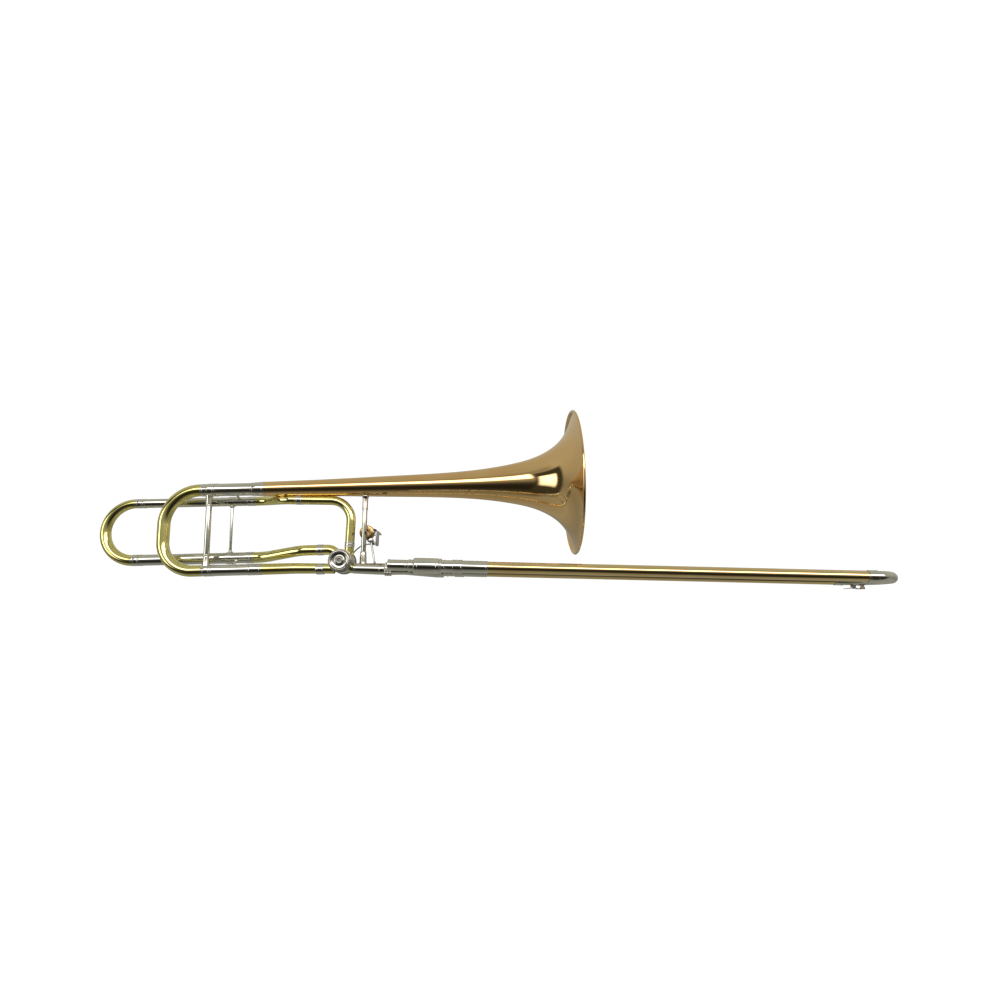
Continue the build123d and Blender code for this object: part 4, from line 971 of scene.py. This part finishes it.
def build_lock_nut():
    """The knurled nut that locks the bell section to the slide."""
    notches = 24
    steps = notches * 8
    notch_depth = 0.55
    profile = [
        (-16.3, 8.6, 0), (-16.3, 9.0, 0), (-15.9, 9.45, 0.2), (-15.2, 9.9, 1), (-13.8, 9.9, 1),
        (-13.5, 9.5, 0.3), (-13.0, 9.5, 0.3), (-12.7, 9.9, 1), (-9.9, 9.9, 1), (-9.6, 9.5, 0.3),
        (-9.1, 9.5, 0.3), (-8.8, 9.9, 1), (-7.2, 9.9, 1), (-6.6, 9.45, 0.2), (-6.3, 9.0, 0),
        (-6.3, 8.1, 0), (-10.9, 8.1, 0), (-11.3, 8.6, 0),
    ]
    bm = bmesh.new()
    rings = []
    for x, radius, knurl in profile:
        ring = []
        for k in range(steps):
            a = 2 * pi * k / steps
            dip = notch_depth * knurl * max(0.0, cos(notches * a)) ** 3
            r = (radius - dip) * MM
            ring.append(bm.verts.new(FAR_AXIS + Vector((x * MM, r * cos(a), r * sin(a)))))
        rings.append(ring)
    for first, second in zip(rings, rings[1:] + rings[:1]):
        bridge(bm, first, second)
    finish_piece([bm], "knurled_lock_nut", "bell_lock", "nickel", ["bell_lock_nut"])


def build_bell_brace():
    """The bell brace: a round rod with a long upper socket and a two-step lower one."""
    right_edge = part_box("bell_brace")[1].x
    bottom = Vector((right_edge - BRACE_R, BELL_PLANE_Y, 7.0 * MM))
    top = leg_point(-51.1 * MM, -15.2 * MM)
    up = (top - bottom).normalized()
    end = (top - bottom).length / MM
    rod = bar(bottom + up * 3 * MM, top - up * 1 * MM, BRACE_R)
    finish_piece([rod], "bell_brace_rod", "bell_section", "nickel", ["bell_brace"])
    upper = mm(
        (end - 19, 3.6), (end - 19, 4.3), (end - 18.6, 4.5), (end - 17.4, 4.5), (end - 17, 4.1),
        (end - 3, 4.1), (end - 1.6, 4.5), (end + 0.8, 5.4), (end + 1.6, 5.4), (end + 1.6, 3.6),
    )
    lower = mm(
        (-0.5, 3.6), (-0.5, 5.6), (1.4, 5.4), (2.6, 5.0), (11.2, 4.95), (12.2, 4.5), (15.2, 4.5),
        (16.2, 4.3), (16.6, 4.5), (17.4, 4.5), (17.8, 4.1), (17.8, 3.6),
    )
    cups = [lathe(bottom, up, outline, 0.2 * MM, 64) for outline in (upper, lower)]
    finish_piece(cups, "bell_brace_cups", "bell_section", "nickel", ["bell_brace_sockets"])


# ---- trigger
TRIGGER = Vector((-46.5 * MM, 0, 53.5 * MM))
TRIGGER_ARM = radians(-61)
TRIGGER_ARM_LENGTH = 16.5
DRUM_Y = BELL_PLANE_Y + 5 * MM
LEVER_Y = BELL_PLANE_Y + 20 * MM


def build_trigger_drum():
    """The brass drum that houses the trigger's return spring, and the spring's coils."""
    outline = mm(
        (-0.9, 2.1), (-0.9, 7.2), (-0.6, 7.6), (0, 7.7), (0.2, 9.6), (0.6, 10.4), (1.4, 10.8), (8.4, 10.8),
        (8.8, 10.6), (9, 10.2), (9, 9.4), (1.5, 9.4), (1.5, 2.1),
    )
    drum = lathe(TRIGGER + ACROSS * DRUM_Y, ACROSS, outline, 0.2 * MM)
    # The drum takes the darker brass copy: its colour is painted shade
    finish_piece([drum], "trigger_spring_drum", "bell_section", "shaded_brass", ["trigger_drum"])
    samples = []
    per_turn = 28
    last = 5 * per_turn
    coil_r, wire_r = 5.0 * MM, 0.5 * MM
    for k in range(last + 1):
        a = 2 * pi * k / per_turn
        y = DRUM_Y + 2.5 * MM + 5.3 * MM * k / last
        samples.append(TRIGGER + Vector((coil_r * cos(a), y, coil_r * sin(a))))
    coil = pipe(samples, wire_r, wire_r, None, 12)
    finish_piece([coil], "trigger_coil", "bell_section", "steel", ["trigger_spring"])


def build_trigger_bracket():
    """The bracket that carries the drum: a nickel block on a thin leg to the neckpipe."""
    head = Vector((-40.6 * MM, DRUM_Y + 2.6 * MM, 43.4 * MM))
    foot = Vector((-31.6 * MM, BELL_PLANE_Y + 2.5 * MM, 7.4 * MM))
    down = foot - head
    end = down.length / MM
    leg = mm(
        (-1, 0), (-1, 2.2), (1.6, 2.4), (3.4, 1.5),
        (end - 4, 1.35), (end - 1.6, 1.6), (end + 0.2, 2.2), (end + 0.2, 0),
    )
    corners = mm((-45.4, 40.2), (-38.4, 38.2), (-36.9, 44.6), (-39.4, 46.2), (-44.0, 43.2))
    edge = round_outline(corners, [v * MM for v in (1.2, 1.6, 1.2, 0.6, 0.6)])
    parts = [
        lathe(head, down, leg, 0.3 * MM, 40),
        plate(edge, BELL_PLANE_Y + 12.8 * MM, 8.0 * MM, 0.4 * MM),
    ]
    finish_piece(parts, "trigger_post", "bell_section", "shaded_nickel", ["trigger_bracket"])


def screw_head(centre, radius, height):
    """A domed screw head that faces the back."""
    r, h = radius / MM, height / MM
    dome = mm((0, 0), (0, r), (h * 0.45, r), (h * 0.8, r * 0.8), (h, r * 0.45), (h, 0))
    return lathe(centre, ACROSS, dome, 0.15 * MM, 40)


def build_trigger_pin():
    """The screw the trigger turns on."""
    head = TRIGGER + ACROSS * (LEVER_Y + 0.8 * MM)
    shank = bar(TRIGGER + ACROSS * (BELL_PLANE_Y + 4.8 * MM), head, 2.0 * MM)
    parts = [shank, screw_head(head, 3.6 * MM, 1.4 * MM)]
    finish_piece(parts, "trigger_pivot_screw", "bell_section", "steel", ["trigger_pin"])


def strip_outline(rib):
    """The closed outline of a bent strip from its (point, normal) samples."""
    half = 1.05 * MM
    over = [Vector((p.x + n.x * half, p.z + n.z * half)) for p, n in rib]
    under = [Vector((p.x - n.x * half, p.z - n.z * half)) for p, n in rib]
    return under + over[::-1]


def build_thumb_lever():
    """The thumb lever: a cranked plate on the pivot, and a hooked paddle in front."""
    centre = Vector((TRIGGER.x, TRIGGER.z)) / MM
    reach = TRIGGER_ARM_LENGTH
    end = centre + Vector((reach * cos(TRIGGER_ARM), reach * sin(TRIGGER_ARM)))
    hub = fan(centre, 6.2, radians(8), radians(262), 24)
    lower = fan(end, 2.8, TRIGGER_ARM - radians(88), radians(176), 16)
    waist = centre + Vector((5.2, -4.6))
    top = [(-33.2, centre.y - 2.0), (-28.8, centre.y - 2.0), (-28.0, centre.y + 1.4), (-33.2, centre.y + 2.2)]
    base = plate(mm(*hub, *lower, waist, *top), LEVER_Y, 5.4 * MM, 0.4 * MM)
    bends = [Vector((x, 0, z)) * MM for x, z in ((-33, 54.7), (-27.6, 54.7), (-27.6, 34.5), (-29.2, 32.7))]
    path = rounded_route(bends, [3.2 * MM, 1.2 * MM], 0.6 * MM)
    rib = []
    for point, (tangent, side, other) in zip(path, frames_along(path)):
        rib.append((point, Vector((-tangent.z, 0, tangent.x)).normalized()))
    paddle = plate(strip_outline(rib), BELL_PLANE_Y - 2 * MM, 20 * MM, 0.45 * MM)
    bridge_rib = [(p, n) for p, n in rib if p.z > 50.3 * MM]
    cross = plate(strip_outline(bridge_rib), LEVER_Y, 42 * MM, 0.4 * MM)
    finish_piece([base, paddle, cross], "thumb_paddle", "trigger", "steel", ["thumb_lever"])


def build_linkage():
    """The thin wire rod from the trigger to the stop arm, with an eye and a screw at each end."""
    reach = TRIGGER_ARM_LENGTH * MM
    arm = Vector((reach * cos(TRIGGER_ARM), 0, reach * sin(TRIGGER_ARM)))
    link = TRIGGER + ACROSS * (BELL_PLANE_Y + 21.8 * MM) + arm
    stop = on_stop_arm(29 * MM)
    points = [
        link,
        Vector((-55.0 * MM, link.y, 36.5 * MM)),
        Vector((-67.5 * MM, stop.y, 27.5 * MM)),
        stop,
    ]
    rod = pipe(rounded_route(points, [16 * MM, 16 * MM], 0.8 * MM), 1.05 * MM, 1.05 * MM, None, 20)
    eye = mm((-1.3, 1.0), (-1.3, 2.3), (-0.9, 2.7), (0.9, 2.7), (1.3, 2.3), (1.3, 1.0))
    eyes = [lathe(place, ACROSS, eye, 0.25 * MM, 40) for place in (link, stop)]
    finish_piece([rod, *eyes], "linkage_wire", "linkage", "steel", ["linkage_rod"])
    screws = []
    for place, front, head_height in ((link, 6.8 * MM, 1.4 * MM), (stop, 1.5 * MM, 1.3 * MM)):
        screws.append(bar(place - ACROSS * front, place + ACROSS * 1.4 * MM, 1.0 * MM, 0.2 * MM, 24))
        screws.append(screw_head(place + ACROSS * 1.32 * MM, 2.2 * MM, head_height))
    finish_piece(screws, "linkage_pivot_screws", "linkage", "steel", ["linkage_screws"])


# ---- inner slide
def build_receiver():
    """The mouthpiece receiver with its rounded, beaded mouth."""
    outline = mm(
        (0.6, 6.36), (0, 6.8), (0, 7.3), (0.5, 7.75), (2.6, 7.75), (3.1, 7.4), (3.7, 7.25), (4.3, 7.4),
        (22.4, 7.4), (22.8, 7.15), (23.4, 7.15), (23.8, 7.4), (27, 7.4), (27, 5.95), (25, 6.36),
    )
    shell = lathe(NEAR_AXIS, SLIDE_AXIS, outline, 0.15 * MM)
    finish_piece([shell], "receiver_shell", "bell_section", "nickel", ["mouthpiece_receiver"])
    collar = mm(
        (27.05, 6.9), (27.05, 7.6), (27.5, 7.9), (27.8, 8.3), (29.2, 8.3), (29.5, 7.9), (33.1, 7.9),
        (33.45, 7.6), (33.45, 6.9),
    )
    ring = lathe(NEAR_AXIS, SLIDE_AXIS, collar, 0.15 * MM)
    finish_piece([ring], "receiver_ring", "bell_section", "nickel", ["receiver_collar"])


INNER_END_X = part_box("inner_slide_tubes")[1].x


def build_inner_tubes():
    """The chromed inner slide tubes and their thicker stockings."""
    tubes = [
        band(NEAR_AXIS, SLIDE_AXIS, 27.05 * MM, INNER_END_X, INNER_R, 6.4 * MM),
        band(FAR_AXIS, SLIDE_AXIS, 2.0 * MM, INNER_END_X, INNER_R, 6.4 * MM),
    ]
    finish_piece(tubes, "inner_tubes", "bell_section", "chrome", ["inner_slide_tubes"])
    end = INNER_END_X / MM
    outline = mm((470, 6.87), (470.8, 7.14), (end - 0.6, 7.14), (end, 7.0), (end, 6.87))
    stockings = []
    for axis in SLIDE_AXES:
        stockings.append(lathe(axis, SLIDE_AXIS, outline, 0.1 * MM, 64))
    finish_piece(stockings, "inner_tube_stockings", "bell_section", "chrome", ["slide_stockings"])


def build_barrels():
    """The cork barrels: a straight one on the mouthpiece side and a conical one on the bell side."""
    near = mm(
        (33.5, 6.9), (33.5, 8.1), (34.0, 9.4), (35.2, 10.15), (36.6, 10.4), (37.6, 10.4), (38.0, 10.15),
        (38.6, 10.15), (39.0, 10.4), (62.6, 10.4), (63.0, 10.15), (63.6, 10.15), (64.0, 10.4),
        (66.4, 10.4), (67.2, 10.1), (67.8, 9.4), (67.8, 9.1), (71.4, 9.1), (71.4, 8.7),
        (39.5, 8.7), (39.5, 6.9),
    )
    far = mm(
        (12, 6.9), (12, 7.5), (57.2, 10.3), (58.4, 10.4), (63.6, 10.4), (64.0, 10.15), (64.6, 10.15),
        (65.0, 10.4), (68.2, 10.4), (69.2, 10.1), (69.6, 9.6), (69.6, 8.7), (39.5, 8.7), (39.5, 6.9),
    )
    parts = [
        lathe(NEAR_AXIS, SLIDE_AXIS, near, 0.2 * MM),
        lathe(FAR_AXIS, SLIDE_AXIS, far, 0.2 * MM),
    ]
    finish_piece(parts, "slide_cork_barrels", "bell_section", "nickel", ["cork_barrels"])


def build_slide_receiver():
    """The bell-side socket of the slide, which the lock nut draws on to the neckpipe."""
    outline = mm(
        (-10.5, 7.25), (-10.5, 8.0), (-6.0, 8.0), (-5.7, 8.25), (-5.0, 8.3), (-2.4, 8.15), (-2.0, 7.95),
        (-1.4, 7.95), (-1.0, 8.05), (11.95, 7.5), (11.95, 6.9), (1.98, 6.9), (1.98, 7.15), (-5.3, 7.25),
    )
    shell = lathe(FAR_AXIS, SLIDE_AXIS, outline, 0.12 * MM)
    finish_piece([shell], "slide_socket", "bell_section", "nickel", ["slide_receiver"])


def build_cross_brace(name, cad_name, body, radii, socket_length, bands=()):
    """A brace along Y between tubes of those two radii, with sockets, and clamps on the bands."""
    x = middle(cad_name).x
    near = Vector((x, radii[0], 0))
    far = Vector((x, SLIDE_SPACING - radii[1], 0))
    parts = [bar(near + ACROSS * 3 * MM, far - ACROSS * 3 * MM, BRACE_R)]
    parts.append(socket(near, ACROSS, socket_length, 4.8 * MM, BRACE_R))
    parts.append(socket(far, -ACROSS, socket_length, 4.8 * MM, BRACE_R))
    r = radii[0] / MM
    clamp = mm(
        (-6.5, r + 0.03), (-6.5, r + 0.7), (-6, r + 1.0), (-4.8, r + 1.0), (-4.4, r + 0.75),
        (4.4, r + 0.75), (4.8, r + 1.0), (6, r + 1.0), (6.5, r + 0.7), (6.5, r + 0.03),
    )
    for axis in bands:
        parts.append(lathe(axis + SLIDE_AXIS * x, SLIDE_AXIS, clamp, 0.2 * MM))
    finish_piece(parts, name, body, "nickel", [cad_name])


def build_lock_ring():
    """The slide lock's ring with its thumb tab and a grooved edge."""
    outline = mm(
        (68.1, 9.25), (68.1, 9.85), (68.4, 10.1), (69.2, 10.1), (69.4, 9.85), (69.8, 9.85),
        (70, 10.1), (70.8, 10.1), (71.1, 9.85), (71.1, 9.25),
    )
    ring = lathe(NEAR_AXIS, SLIDE_AXIS, outline, 0.12 * MM)
    foot = Vector((middle("slide_lock_ring").x, -9.6 * MM, 0))
    reach = -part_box("slide_lock_ring")[0].y / MM - 9.6
    tab = mm((0, 0), (0, 1.3), (reach - 0.3, 1.3), (reach, 0.9), (reach, 0))
    parts = [ring, lathe(foot, -ACROSS, tab, 0.2 * MM, 32)]
    finish_piece(parts, "slide_lock", "lock_ring", "nickel", ["slide_lock_ring"])


# ---- outer slide
def build_outer_tubes():
    """The two brass outer tubes of the hand slide."""
    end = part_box("outer_slide_tubes")[1].x
    parts = [band(axis, SLIDE_AXIS, 57 * MM, end, BRASS_R, 7.2 * MM) for axis in SLIDE_AXES]
    finish_piece(parts, "outer_tubes", "outer_slide", "slide", ["outer_slide_tubes"])


def build_sleeves():
    """The nickel grip sleeves over the top of the outer tubes."""
    outline = mm(
        (56, 7.64), (56, 8.1), (56.4, 8.3), (73.4, 8.3), (73.8, 8.5), (74.1, 8.75),
        (75.9, 8.75), (76.2, 8.5), (76.6, 8.3), (128.4, 8.3), (128.8, 8.1), (129.4, 8.1),
        (129.8, 8.3), (131.4, 8.3), (132, 8.0), (132, 7.64),
    )
    parts = [lathe(axis, SLIDE_AXIS, outline, 0.15 * MM) for axis in SLIDE_AXES]
    finish_piece(parts, "grip_sleeves", "outer_slide", "nickel", ["slide_sleeves"])


def build_bow():
    """The slide's bow, a little flatter than a half circle, and its two ferrules."""
    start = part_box("bow")[0].x
    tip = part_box("bow")[1].x - BOW_R
    points = [
        Vector((start, 0, 0)),
        Vector((tip, 0, 0)),
        Vector((tip, SLIDE_SPACING, 0)),
        Vector((start, SLIDE_SPACING, 0)),
    ]
    bend = pipe(rounded_route(points, [36 * MM, 36 * MM]), BOW_R, BOW_R, 0.65 * MM, 64)
    finish_piece([bend], "bow_bend", "outer_slide", "nickel", ["bow"])
    outline = mm(
        (0, 7.8), (0, 8.1), (0.4, 8.3), (1.6, 8.3), (1.9, 8.12), (2.4, 8.12), (2.7, 8.3),
        (8.7, 8.3), (9.1, 8.5), (11.0, 8.5), (11.3, 8.3), (11.8, 8.3), (12.1, 8.5), (12.7, 8.5),
        (13.1, 8.2), (13.1, 7.8),
        start=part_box("bow_ferrules")[0].x / MM,
    )
    rings = [lathe(axis, SLIDE_AXIS, outline, 0.12 * MM) for axis in SLIDE_AXES]
    finish_piece(rings, "bow_sleeves", "outer_slide", "nickel", ["bow_ferrules"])


# ---- water key
KEY_X = middle("water_key_pin").x
KEY_Y = middle("water_key_pin").y
KEY_Z = middle("water_key_pin").z
NIPPLE = Vector((middle("water_key_cork").x, middle("water_key_cork").y, 0))


def build_water_key_mount():
    """The water key's nipple, and its saddle: two ears on a strap on the bow."""
    spout = mm((6.6, 1.6), (6.6, 3.6), (7.4, 3.2), (8.0, 2.7), (9.2, 2.6), (9.6, 2.3), (9.6, 1.6))
    parts = [lathe(NIPPLE, -RISE, spout, 0.2 * MM, 40)]
    x = KEY_X / MM
    ear = mm((x - 1.8, -12.0), (x + 1.8, -12.0), (x + 1.8, -7.0), (x - 1.8, -7.0))
    ear = round_outline(ear, [v * MM for v in (1.75, 1.75, 0.2, 0.2)])
    for y in (-3.6, 3.6):
        parts.append(plate(ear, KEY_Y + (y + 0.7) * MM, 1.4 * MM, 0.25 * MM))
    strap = mm((x - 2.0, -8.2), (x + 13.0, -8.2), (x + 13.0, -6.8), (x - 2.0, -6.8))
    strap = round_outline(strap, [0.3 * MM] * 4, 3)
    parts.append(plate(strap, KEY_Y + 4.3 * MM, 8.6 * MM, 0.2 * MM))
    finish_piece(parts, "water_key_mount", "outer_slide", "shaded_nickel", ["water_key_saddle"])


def build_water_key_lever():
    """The water key's lever, from the cup over the barrel to the finger tab, and its cork."""
    x = KEY_X / MM
    tip = NIPPLE.x / MM
    spine = [
        (tip, -13.0, 0.55), (tip - 4.2, -13.0, 0.6), (x + 2.6, -12.3, 0.9), (x, -11.4, 1.6),
        (x - 3.0, -12.2, 0.9), (x - 9.0, -13.0, 0.55), (x - 13.8, -13.3, 0.45),
    ]
    upper = mm(*[(x, z + half) for x, z, half in spine])
    lower = mm(*[(x, z - half) for x, z, half in reversed(spine)])
    barrel_foot = Vector((KEY_X, KEY_Y - 2.4 * MM, KEY_Z))
    barrel = mm((0, 0.87), (0, 1.6), (0.3, 1.8), (4.5, 1.8), (4.8, 1.6), (4.8, 0.87))
    cup = mm((12.42, 0), (12.42, 3.7), (12.7, 3.9), (13.3, 3.7), (13.55, 2.6), (13.6, 0))
    parts = [
        plate(upper + lower, KEY_Y + 2.0 * MM, 4.0 * MM, 0.25 * MM),
        lathe(barrel_foot, ACROSS, barrel, 0.15 * MM, 32),
        lathe(NIPPLE, -RISE, cup, 0.15 * MM, 40),
    ]
    finish_piece(parts, "water_key_arm", "water_key", "shaded_nickel", ["water_key_lever"])
    pad = mm((9.9, 0), (9.9, 2.9), (10.3, 3.3), (12.38, 3.3), (12.38, 0))
    cork = lathe(NIPPLE, -RISE, pad, 0.3 * MM, 40)
    finish_piece([cork], "water_key_pad", "water_key", "cork", ["water_key_cork"])


# ---- build
build_bell()
build_bell_ferrule()
build_lower_leg_ferrule()
build_outer_legs()
build_main_crook()
build_main_slide_legs()
build_main_slide_ferrules()
build_main_slide_brace()
build_main_valve_tube()
build_f_tubes()
build_tube_ferrules()
build_port_ferrules()
build_f_outer_legs()
build_f_crook()
build_f_slide_legs()
build_f_brace()
build_standoffs()
build_valve_casing()
build_valve_cap()
build_bearing_plate()
build_bumpers()
build_stop_arm()
build_neckpipe()
build_lock_nut()
build_bell_brace()
build_trigger_drum()
build_trigger_bracket()
build_trigger_pin()
build_thumb_lever()
build_linkage()
build_receiver()
build_inner_tubes()
build_barrels()
build_slide_receiver()
build_cross_brace("left_hand_brace", "inner_slide_brace", "bell_section", BARREL_RADII, 8.2 * MM)
build_lock_ring()
build_outer_tubes()
build_sleeves()
build_cross_brace("right_hand_brace", "hand_brace", "outer_slide", SLEEVE_RADII, 10.5 * MM, SLIDE_AXES)
build_bow()
build_water_key_mount()
build_water_key_lever()

# ---- stage
WHITE = (1, 1, 1, 1)
WHITE_LEVEL = 1.05
FLOOR_Z = -0.42
FLOOR_HALF_WIDTH = 6
FLOOR_NEAR = -4
FLOOR_FAR = 8


def build_floor():
    """A plain white floor that lights nothing and isn't seen in the metal."""
    material = bpy.data.materials.new("pale_floor")
    material.use_nodes = True
    tree = material.node_tree
    glow = set_inputs(node(tree, "ShaderNodeEmission"), Color=WHITE, Strength=WHITE_LEVEL)
    tree.links.new(glow.outputs["Emission"], tree.nodes["Material Output"].inputs["Surface"])
    near_left = (-FLOOR_HALF_WIDTH, FLOOR_NEAR, FLOOR_Z)
    near_right = (FLOOR_HALF_WIDTH, FLOOR_NEAR, FLOOR_Z)
    far_right = (FLOOR_HALF_WIDTH, FLOOR_FAR, FLOOR_Z)
    far_left = (-FLOOR_HALF_WIDTH, FLOOR_FAR, FLOOR_Z)
    floor_mesh = bpy.data.meshes.new("floor")
    floor_mesh.from_pydata([near_left, near_right, far_right, far_left], [], [(0, 1, 2, 3)])
    floor_mesh.materials.append(material)
    floor = bpy.data.objects.new("floor", floor_mesh)
    bpy.context.scene.collection.objects.link(floor)
    floor.visible_glossy = False
    floor.visible_diffuse = False


build_floor()


# ---- world
WARM_TINT = (1.0, 0.99, 0.86, 1)
STRIP_TINT = (1.0, 0.95, 0.97, 1)
SHADE_TONE = (0.05, 0.05, 0.04, 1)


def tone_ramp(tree, source, stops):
    """A grey ramp with those (position, level) stops, fed by source and level beyond them."""
    ramp = node(tree, "ShaderNodeValToRGB")
    elements = ramp.color_ramp.elements
    for element, (position, level) in ((elements[0], stops[0]), (elements[1], stops[-1])):
        element.position = position
        element.color = (level, level, level, 1)
    for position, level in stops[1:-1]:
        elements.new(position).color = (level, level, level, 1)
    tree.links.new(source, ramp.inputs["Fac"])
    return ramp.outputs["Color"]


def blended(tree, blend_type, factor, first, second):
    """Two colours mixed, added or multiplied; an input may be a socket or a colour."""
    mix = node(tree, "ShaderNodeMix", data_type="RGBA", blend_type=blend_type)
    for place, value in ((0, factor), (6, first), (7, second)):
        if isinstance(value, bpy.types.NodeSocket):
            tree.links.new(value, mix.inputs[place])
        else:
            mix.inputs[place].default_value = value
    return mix.outputs[2]


def view_places(tree):
    """Sockets from 0 to 1 for a direction's height, down to up, and its turn, with front at 0.5."""
    place = node(tree, "ShaderNodeTexCoord")
    split = node(tree, "ShaderNodeSeparateXYZ")
    height = set_inputs(node(tree, "ShaderNodeMapRange"), From_Min=-1.0, From_Max=1.0)
    flip = node(tree, "ShaderNodeMath", operation="MULTIPLY")
    flip.inputs[1].default_value = -1.0
    bearing = node(tree, "ShaderNodeMath", operation="ARCTAN2")
    turn = set_inputs(node(tree, "ShaderNodeMapRange"), From_Min=-pi, From_Max=pi)
    link = tree.links.new
    link(place.outputs["Generated"], split.inputs["Vector"])
    link(split.outputs["Z"], height.inputs["Value"])
    link(split.outputs["Y"], flip.inputs[0])
    link(split.outputs["X"], bearing.inputs[0])
    link(flip.outputs["Value"], bearing.inputs[1])
    link(bearing.outputs["Value"], turn.inputs["Value"])
    return height.outputs["Result"], turn.outputs["Result"]


def room_colour(tree):
    """A soft strip of light across the front, dark below it, and plain walls at the sides."""
    height, turn = view_places(tree)

    def by_height(*stops):
        return tone_ramp(tree, height, stops)

    def by_turn(*stops):
        return tone_ramp(tree, turn, stops)

    def times(first, second):
        return blended(tree, "MULTIPLY", 1.0, first, second)

    front = by_height(
        (0.02, 0.26), (0.07, 0.13), (0.12, 0.05), (0.20, 0.022), (0.33, 0.022), (0.42, 0.06), (0.47, 0.16),
        (0.53, 0.32), (0.585, 0.48), (0.77, 0.34), (0.80, 0.30), (0.86, 0.46), (1.00, 0.50),
    )
    sides = by_height(
        (0.00, 0.30), (0.25, 0.36), (0.42, 0.26), (0.50, 0.30), (0.60, 0.44), (0.75, 0.52), (1.00, 0.50),
    )
    ahead = by_turn((0.30, 0.0), (0.345, 1.0), (0.66, 1.0), (0.70, 0.0))
    strip = times(
        by_height((0.58, 0.0), (0.602, 1.6), (0.622, 3.6), (0.73, 3.6), (0.755, 1.6), (0.775, 0.0)),
        by_turn((0.408, 0.0), (0.416, 1.0), (0.635, 1.0), (0.65, 0.0)),
    )
    side_shade = times(
        by_turn((0.275, 0.0), (0.295, 1.0), (0.40, 1.0), (0.412, 0.0)),
        by_height((0.12, 0.0), (0.20, 1.0), (0.72, 1.0), (0.76, 0.0)),
    )
    side_panel = times(
        by_turn((0.318, 0.0), (0.33, 2.8), (0.385, 2.8), (0.40, 0.0)),
        by_height((0.32, 0.0), (0.40, 0.8), (0.48, 1.0), (0.61, 1.0), (0.64, 0.0)),
    )
    facing = blended(tree, "ADD", 1.0, times(front, WARM_TINT), times(strip, STRIP_TINT))
    walls = blended(tree, "MIX", ahead, times(sides, WARM_TINT), facing)
    shaded = blended(tree, "MIX", side_shade, walls, SHADE_TONE)
    return blended(tree, "ADD", 1.0, shaded, side_panel)


def build_world():
    """The studio that lights the metal; the camera sees plain white in its place."""
    world = bpy.data.worlds.new("studio")
    bpy.context.scene.world = world
    world.use_nodes = True
    tree = world.node_tree
    tree.nodes.clear()
    studio = node(tree, "ShaderNodeBackground")
    plain = set_inputs(node(tree, "ShaderNodeBackground"), Color=WHITE, Strength=WHITE_LEVEL)
    path = node(tree, "ShaderNodeLightPath")
    choose = node(tree, "ShaderNodeMixShader")
    output = node(tree, "ShaderNodeOutputWorld")
    link = tree.links.new
    link(room_colour(tree), studio.inputs["Color"])
    link(path.outputs["Is Camera Ray"], choose.inputs["Fac"])
    link(studio.outputs["Background"], choose.inputs[1])
    link(plain.outputs["Background"], choose.inputs[2])
    link(choose.outputs["Shader"], output.inputs["Surface"])


def soft_light(name, place, aim, width, height, power):
    """A soft area light pointed at a spot, unseen by the camera and by the metal's reflections."""
    data = bpy.data.lights.new(name, "AREA")
    data.shape = "RECTANGLE"
    data.size = width
    data.size_y = height
    data.energy = power
    lamp = bpy.data.objects.new(name, data)
    lamp.location = place
    lamp.rotation_euler = (Vector(aim) - Vector(place)).to_track_quat("-Z", "Y").to_euler()
    lamp.visible_camera = False
    lamp.visible_glossy = False
    bpy.context.scene.collection.objects.link(lamp)


build_world()
soft_light("key", place=(0.2, -1.6, 1.3), aim=(0.1, 0.08, 0.1), width=1.6, height=0.5, power=14)


# ---- camera
CAMERA_PLACE = Vector((125.3, -851.8, -61.75)) * MM
CAMERA_LENS = 23.017
SENSOR_WIDTH = 36
PITCH = radians(10.18)
YAW = radians(1.433)
ROLL = radians(1.246)


def build_camera():
    """The photo's camera: below the trombone and close to it, tilted up and a little rolled."""
    data = bpy.data.cameras.new("camera")
    data.lens = CAMERA_LENS
    data.sensor_width = SENSOR_WIDTH
    camera = bpy.data.objects.new("camera", data)
    ahead = Vector((sin(YAW) * cos(PITCH), cos(YAW) * cos(PITCH), sin(PITCH)))
    right = Vector((cos(YAW), -sin(YAW), 0))
    up = right.cross(ahead)
    level_right = right * cos(ROLL) + up * sin(ROLL)
    level_up = up * cos(ROLL) - right * sin(ROLL)
    turned = Matrix((level_right, level_up, -ahead)).transposed()
    camera.matrix_world = Matrix.Translation(CAMERA_PLACE) @ turned.to_4x4()
    bpy.context.scene.collection.objects.link(camera)
    bpy.context.scene.camera = camera


build_camera()
bpy.context.scene.view_settings.view_transform = "Standard"
